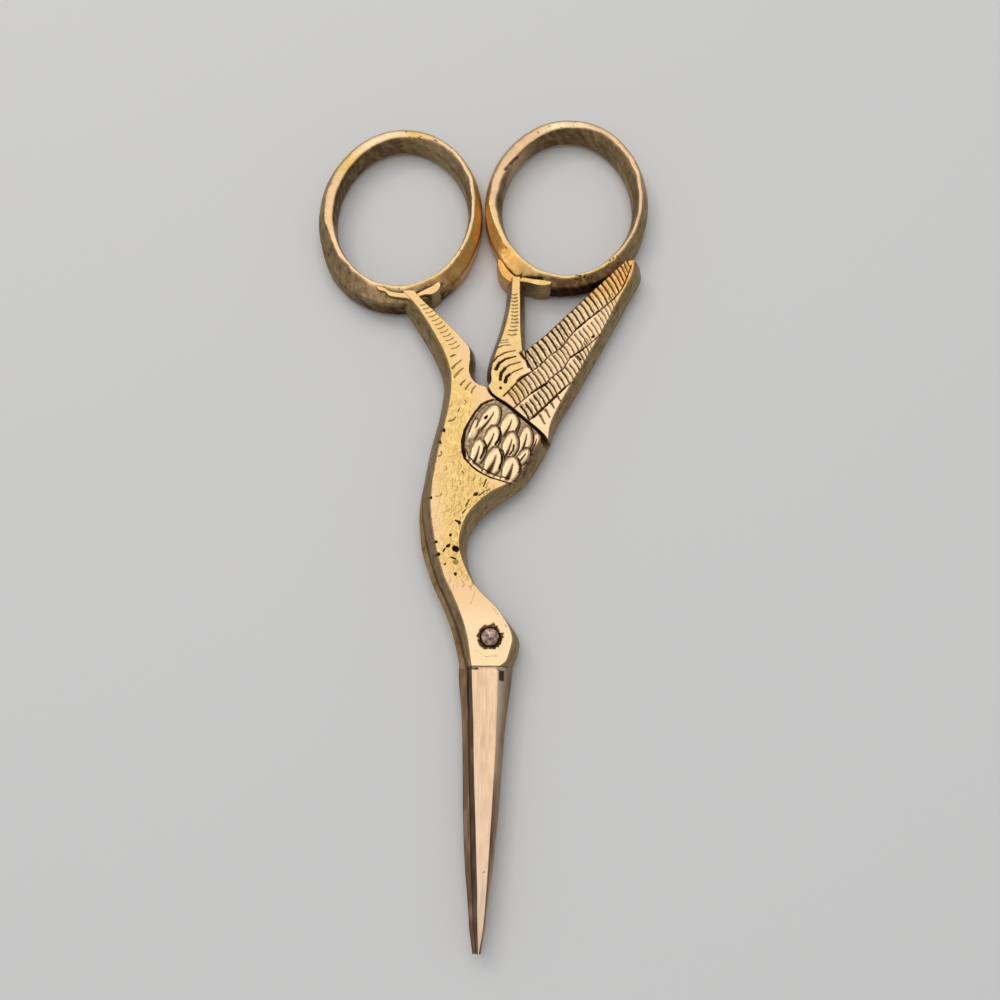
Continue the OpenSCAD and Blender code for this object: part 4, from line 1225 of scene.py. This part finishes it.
# Rims of the rings and their tones by angle, as rows for ring(), in hundredths
# The tones paint shade on the slopes and a highlight on the top band
LEFT_RIM = [
    (0, 45, 50, 80, 115, 120, 0, 0), (25, 35, 110, 110, 50, 90, 0, 0), (45, 20, 150, 120, 40, 80, 0, 0),
    (65, 10, 120, 90, 50, 90, 0, 0), (85, 5, 60, 50, 65, 110, 0, 0), (110, 0, 40, 40, 65, 110, 0, 0),
    (150, 0, 30, 40, 75, 100, 0, 0), (180, 5, 30, 50, 90, 100, 0, 0), (200, 10, 20, 50, 160, 120, 10, 0),
    (222, 25, 15, 30, 235, 140, 60, 0), (240, 45, 10, 30, 250, 120, 85, 0), (250, 50, 10, 30, 250, 60, 95, 3),
    (270, 55, 10, 30, 245, 45, 100, 5), (300, 55, 10, 30, 210, 60, 55, 3), (312, 50, 10, 30, 185, 140, 30, 0),
    (332, 45, 20, 50, 145, 130, 2, 0)]
LEFT_RIM_TONES = [
    (0, 30, 50, 15, 200, 10, 90, 20), (25, 20, 30, 30, 100, 20, 85, 20), (60, 30, 20, 30, 90, 15, 80, 20),
    (82, 80, 10, 20, 90, 10, 90, 30), (95, 90, 120, 10, 90, 0, 100, 35), (122, 90, 130, 10, 90, 0, 100, 35),
    (138, 120, 10, 30, 100, 20, 100, 40), (155, 50, 0, 60, 50, 15, 100, 45),
    (180, 10, 0, 90, 20, 15, 100, 50), (215, 10, 30, 100, 20, 15, 90, 20), (245, 30, 40, 100, 40, 40, 70, 0),
    (275, 50, 40, 90, 100, 55, 70, 0), (303, 60, 30, 50, 180, 50, 70, 0), (318, 50, 30, 5, 220, 0, 70, 0),
    (338, 40, 40, 5, 240, 0, 80, 5)]
RIGHT_RIM = [
    (5, 30, 80, 120, 90, 100, 0, 0), (35, 15, 130, 130, 45, 90, 0, 0), (65, 10, 120, 110, 50, 90, 0, 0),
    (90, 0, 60, 70, 65, 110, 0, 0), (125, 0, 25, 30, 65, 100, 0, 0), (155, 0, 40, 50, 60, 90, 0, 0),
    (185, 0, 85, 120, 65, 80, 0, 0), (200, 10, 60, 90, 110, 100, 5, 0), (214, 30, 30, 60, 150, 110, 10, 0),
    (226, 40, 15, 30, 190, 80, 40, 0), (240, 50, 10, 30, 220, 50, 70, 4), (256, 60, 10, 30, 215, 50, 75, 4),
    (262, 65, 10, 30, 150, 70, 10, 0), (275, 70, 10, 25, 120, 80, -15, 0), (300, 60, 10, 25, 125, 80, -15, 0),
    (315, 40, 15, 30, 135, 100, -10, 0), (332, 30, 40, 80, 140, 120, 0, 0)]
RIGHT_RIM_TONES = [
    (5, 10, 30, 80, 30, 15, 100, 20), (35, 10, 0, 50, 50, 10, 75, 25), (65, 20, 0, 40, 60, 10, 85, 35),
    (85, 50, 130, 20, 60, 0, 100, 40), (105, 50, 170, 10, 60, 0, 100, 40), (125, 20, 30, 20, 30, 0, 100, 35),
    (140, 10, 0, 30, 20, 10, 60, 10), (152, 0, 0, 30, 20, 10, 30, 0), (165, 10, 0, 30, 30, 10, 80, 20),
    (185, 10, 10, 20, 80, 10, 100, 35), (205, 30, 20, 0, 200, 0, 90, 20), (222, 50, 10, 0, 210, 0, 70, 10),
    (235, 80, 20, 20, 170, 20, 60, 0), (255, 50, 40, 70, 130, 75, 60, 0), (265, 40, 40, 65, 150, 90, 60, 0),
    (295, 50, 30, 60, 160, 90, 60, 0), (312, 80, 20, 60, 140, 70, 60, 0), (325, 40, 20, 80, 70, 30, 70, 0),
    (345, 10, 20, 100, 30, 15, 100, 20)]


def scatter(marks, low, high, count, size, seed, dark=0.8):
    """Small corrosion pits strewn over a patch."""
    rng = np.random.default_rng(seed)
    for _ in range(count):
        centre = rng.uniform(low, high)
        rx, ry = size * rng.uniform(0.5, 1.3), size * rng.uniform(0.5, 1.3)
        turn = rng.uniform(0, 180)
        marks.pit(centre, rx, ry, 0.1, turn, seed, dark * rng.uniform(0.5, 1))


def engrave_left_ring(marks):
    """Crevices beside the toes and light wear of the left ring."""
    marks.strokes([
        ([(-10.6, 48.9), (-10.1, 49.4), (-9.1, 49.95), (-7.9, 50.6)], 0.5, 0.24, 0.4, 0.9, 0.25),
        ([(-7, 50.9), (-6.7, 50.1), (-6.5, 49.3)], 0.3, 0.3, 0.2, 0.7, 0.4),
        ([(-11.5, 49.3), (-12.8, 49.15), (-14.2, 49.4), (-15.2, 50)], 0.16, 0.14, 0.1, 0.45, 0.4),
        ([(-10.6, 48.8), (-11.2, 49.1), (-11.7, 49.2)], 0.22, 0.14, 0.12, 0.6, 0.4),
        ([(-17.9, 52), (-17.2, 51.4)], 0.12, 0.1, 0.06, 0.6)])
    marks.pit((-13, 49.8), 0.22, 0.14, 0.08, 20, dark=0.5)
    scatter(marks, (-25, 66), (-18, 74), 26, 0.13, 81, dark=0.5)
    scatter(marks, (-18, 74), (-6, 78.2), 30, 0.14, 82, dark=0.6)
    scatter(marks, (-7, 50), (-2, 58), 18, 0.15, 83, dark=0.6)


def engrave_right_ring(marks):
    """Crevices beside the toes and corrosion of the right ring."""
    marks.strokes([
        ([(3.55, 50.6), (3.75, 51.3), (4.2, 51.95)], 0.3, 0.42, 0.3, 1, 0.3),
        ([(2.8, 52.3), (3.5, 51.95), (4.4, 52.4)], 0.2, 0.22, 0.2, 1, 0.4),
        ([(4.2, 51.85), (5.4, 51.8), (7.2, 51.6)], 0.4, 0.4, 0.4, 1, 0.3),
        ([(5, 52.05), (5.7, 51.8), (6.6, 51.8)], 0.26, 0.16, 0.15, 0.7, 0.4),
        ([(15.7, 51), (16.2, 51.9), (17.1, 52.3)], 0.6, 0.36, 0.3, 1, 0.4),
        ([(2.1, 70.2), (2.9, 71.4), (3.9, 72.6)], 0.7, 0.3, 0.12, 0.6, 0.3)])
    marks.pit((7.15, 51.6), 0.22, 0.26, 0.3)
    scatter(marks, (0.6, 53), (2.6, 57), 9, 0.12, 84, dark=0.4)
    scatter(marks, (11.8, 51), (15.8, 52), 30, 0.17, 85)
    scatter(marks, (16.2, 52.4), (19.6, 55.2), 30, 0.22, 86, dark=0.6)
    scatter(marks, (2, 74), (14, 80), 22, 0.14, 87, dark=0.5)


# Outlines of the toes
LEFT_TOES = (
    [(-10.4, 48.4), (-9.3, 48.8), (-8.3, 48.85), (-7.45, 49.5), (-7.15, 50.4), (-7.5, 50.9), (-8.3, 50.25),
     (-9.2, 49.75), (-10.1, 49.2), (-10.7, 48.7)],
    [(-11.2, 48), (-11.9, 48.2), (-12.8, 48.3), (-14.3, 48.6), (-15, 49.3), (-15.8, 49.5), (-16.25, 50.1),
     (-15.3, 50.05), (-14.2, 49.35), (-12.8, 49.1), (-11.5, 49.2), (-10.9, 48.7)],
)

# Outline, drop below the face and how brown its sides are
# The brown of the sides is painted shade, partly patina
RIGHT_TOES = (
    ([(3.9, 51), (4.5, 50.9), (5.3, 50.75), (6.5, 50.4), (7.5, 50.28), (8.3, 50.45), (8.5, 50.85),
      (7.7, 51.15), (6.6, 51.3), (5.2, 51.5), (4.3, 51.6)], 0.06, 0.8),
    ([(3.1, 51), (2.5, 51.2), (1.8, 51.8), (1.2, 52.8), (0.9, 53.9), (1, 54.9), (1.5, 54.6), (2, 53.7),
      (2.8, 52.6), (3.5, 51.9), (3.6, 51.2)], 0.42, 0.35),
)


def front_engraving(marks):
    engrave_body(marks)
    engrave_pivot(marks)


def back_engraving(marks):
    """The back face shows the wing, and the body feathers and ticks again, without the front's corrosion."""
    engrave_wing(marks)
    engrave_feathers(marks)
    marks.stroke(POCKET, 0.36, 0.3, 0.3, ragged=0.25, seed=5)
    marks.stroke([(x, y) for y, x in FRONT_SEAM[1:]], 0.3, 0.3, 0.3)
    engrave_ticks(marks)


def front_half():
    build = Build()
    ring(build, LEFT_RING, 0, LEFT_RIM, LEFT_RIM_TONES, engrave_left_ring)
    seat, bore = MID - SCREW_SEAT - SEAT_ROOM, SHANK_R + FRONT_ROOM
    holes = [[(SCREW_R + SEAT_ROOM, seat), (bore, seat), (bore, LAP_GAP / 2)]]
    slab(build, front_top_loop(), MID, FACE_STEP, front_engraving, holes, gold=front_gold)
    slab(build, front_bottom_loop(), MID, BACK_STEP, upside=-1, gold=front_gold)
    for outline in LEFT_TOES:
        toe(build, outline, MID - 0.02, MID - TOE_DROP, lambda x, y: 0.5 + 0 * x)
    gold_part = build.object("front_half_body", gilt("worn_gold_front"))
    steel = Build()
    blade(steel, FRONT_ROOT_X, FRONT_TIP_X, 1, FRONT_BLADE_TONES, 0.32, 0.0, mark_blade)
    return [gold_part, steel.object("front_half_blade", nickel("blade_steel_front"))]


def back_half():
    build = Build()
    ring(build, RIGHT_RING, RIGHT_LEAN, RIGHT_RIM, RIGHT_RIM_TONES, engrave_right_ring)
    slab(build, back_top_loop(), MID, FACE_STEP, engrave_wing, gold=back_gold)
    seat, bore = MID - TAIL_SEAT, SHANK_R + BACK_ROOM
    holes = [[(TAIL_R + BACK_ROOM, seat), (bore, seat), (bore, LAP_GAP / 2)]]
    slab(build, back_bottom_loop(), MID, BACK_STEP, back_engraving, holes, upside=-1, gold=back_gold)
    for outline, drop, wall_tone in RIGHT_TOES:
        toe(build, outline, MID - drop, MID - TOE_DROP, lambda x, y: 1.3 + 0.7 * (x < 3.2), wall_tone)
    gold_part = build.object("back_half_body", gilt("worn_gold_back"))
    steel = Build()
    blade(steel, BACK_ROOT_X, BACK_TIP_X, -1, BACK_BLADE_TONES, 0.0, 0.33)
    return [gold_part, steel.object("back_half_blade", nickel("blade_steel_back"))]


def lathe(profile, sides):
    """Vertices and faces of a turned profile of (radius, height), from its lower to its upper end."""
    turns = 2 * math.pi * np.arange(sides) / sides
    verts = [(0, 0, profile[0][1])]
    verts += [(r * math.cos(a), r * math.sin(a), z) for r, z in profile[1:-1] for a in turns]
    verts.append((0, 0, profile[-1][1]))
    faces, last = [], len(verts) - 1 - sides
    for k, m in ring_edges(1, sides):
        faces.append((0, m, k))
        faces += [(a + k, a + m, a + sides + m, a + sides + k) for a in range(0, last - 1, sides)]
        faces.append((last - 1 + k, last - 1 + m, len(verts) - 1))
    return np.array(verts, float), faces


def pivot_screw():
    """Domed head with pits, plain shank and flat tail, turned as one profile."""
    seat, edge = THICK - SCREW_SEAT, THICK - 0.1
    profile = [(0, 0), (TAIL_R - 0.05, 0), (TAIL_R, 0.05), (TAIL_R, TAIL_SEAT - 0.02),
               (SHANK_R, TAIL_SEAT - 0.02), (SHANK_R, seat), (SCREW_R - 0.05, seat), (SCREW_R, seat + 0.05),
               (SCREW_R, edge)]
    profile += [(SCREW_R * math.cos(a), edge + (SCREW_DOME + 0.1) * math.sin(a))
                for a in np.radians([8, 16, 24, 30, 36, 42, 48, 54, 60, 65, 70, 74, 78, 82, 86])]
    verts, faces = lathe(profile + [(0.0, THICK + SCREW_DOME)], SCREW_SIDES)
    head = unit((verts[:, 2] - THICK + 0.2) / 0.3)
    pits = noise(verts[:, 0] + 5, verts[:, 1] + 5, 0.42, 71) - 0.5
    verts[:, 2] -= head * 0.16 * unit(pits * 2.4)
    rim = unit((np.hypot(verts[:, 0], verts[:, 1]) - 0.98) / 0.12) * (verts[:, 2] > 3)
    build = Build()
    build.add(verts, faces, np.maximum(rim, head * np.clip(pits * 1.6, 0, 0.7)))
    return build.object("pivot_screw_head", corroded("corroded_steel"))


# Stage

FLOOR_HALF = 3.0
ROOM_LIGHT = (0.93, 0.95, 1.0, 1)
LAMP_TARGET = (0, 0.02, 0)
CAMERA_PLACE = (1.238 * MM, -26.41 * MM, (THICK + 122.16) * MM)
CAMERA_TILT = 20


def stage():
    mesh = bpy.data.meshes.new("floor")
    corners = [(-FLOOR_HALF, -FLOOR_HALF, 0), (FLOOR_HALF, -FLOOR_HALF, 0), (FLOOR_HALF, FLOOR_HALF, 0),
               (-FLOOR_HALF, FLOOR_HALF, 0)]
    mesh.from_pydata(corners, [], [(0, 1, 2, 3)])
    look = Look("pale_floor")
    look.feed(look.shader.inputs["Base Color"], (0.80, 0.79, 0.77))
    look.feed(look.shader.inputs["Roughness"], 0.8)
    mesh.materials.append(look.material)
    placed("floor", mesh)


def lamp(name, place, size, power, colour=(1, 1, 1)):
    """Round lamp that shines on the middle of the scissors."""
    data = bpy.data.lights.new(name, "AREA")
    data.shape = "DISK"
    data.size = size
    data.energy = power
    data.color = colour
    light = placed(name, data)
    light.location = place
    light.rotation_euler = (Vector(LAMP_TARGET) - Vector(place)).to_track_quat("-Z", "Y").to_euler()


def lights():
    lamp("overhead", (-0.1, 0.25, 0.62), 0.84, 1.9, (1.0, 0.98, 0.95))
    lamp("window", (-0.4, 0.4, 0.5), 0.12, 0.28)
    world = bpy.data.worlds.new("studio")
    bpy.context.scene.world = world
    world.use_nodes = True
    background = world.node_tree.nodes["Background"]
    background.inputs["Color"].default_value = ROOM_LIGHT
    background.inputs["Strength"].default_value = 0.44


def camera():
    data = bpy.data.cameras.new("camera")
    data.sensor_width = 36
    data.lens = 36
    data.clip_start = 0.005
    eye = placed("camera", data)
    eye.location = CAMERA_PLACE
    eye.rotation_euler = (math.radians(CAMERA_TILT), 0, 0)
    bpy.context.scene.camera = eye


camera()
for part in front_half():
    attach(part, "front_half")
    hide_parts("front_half")
for part in back_half():
    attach(part, "back_half")
    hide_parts("back_half")
screw = pivot_screw()
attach(screw, "back_half")
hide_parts("pivot_screw")
stage()
lights()

bpy.context.scene.view_settings.view_transform = "Standard"
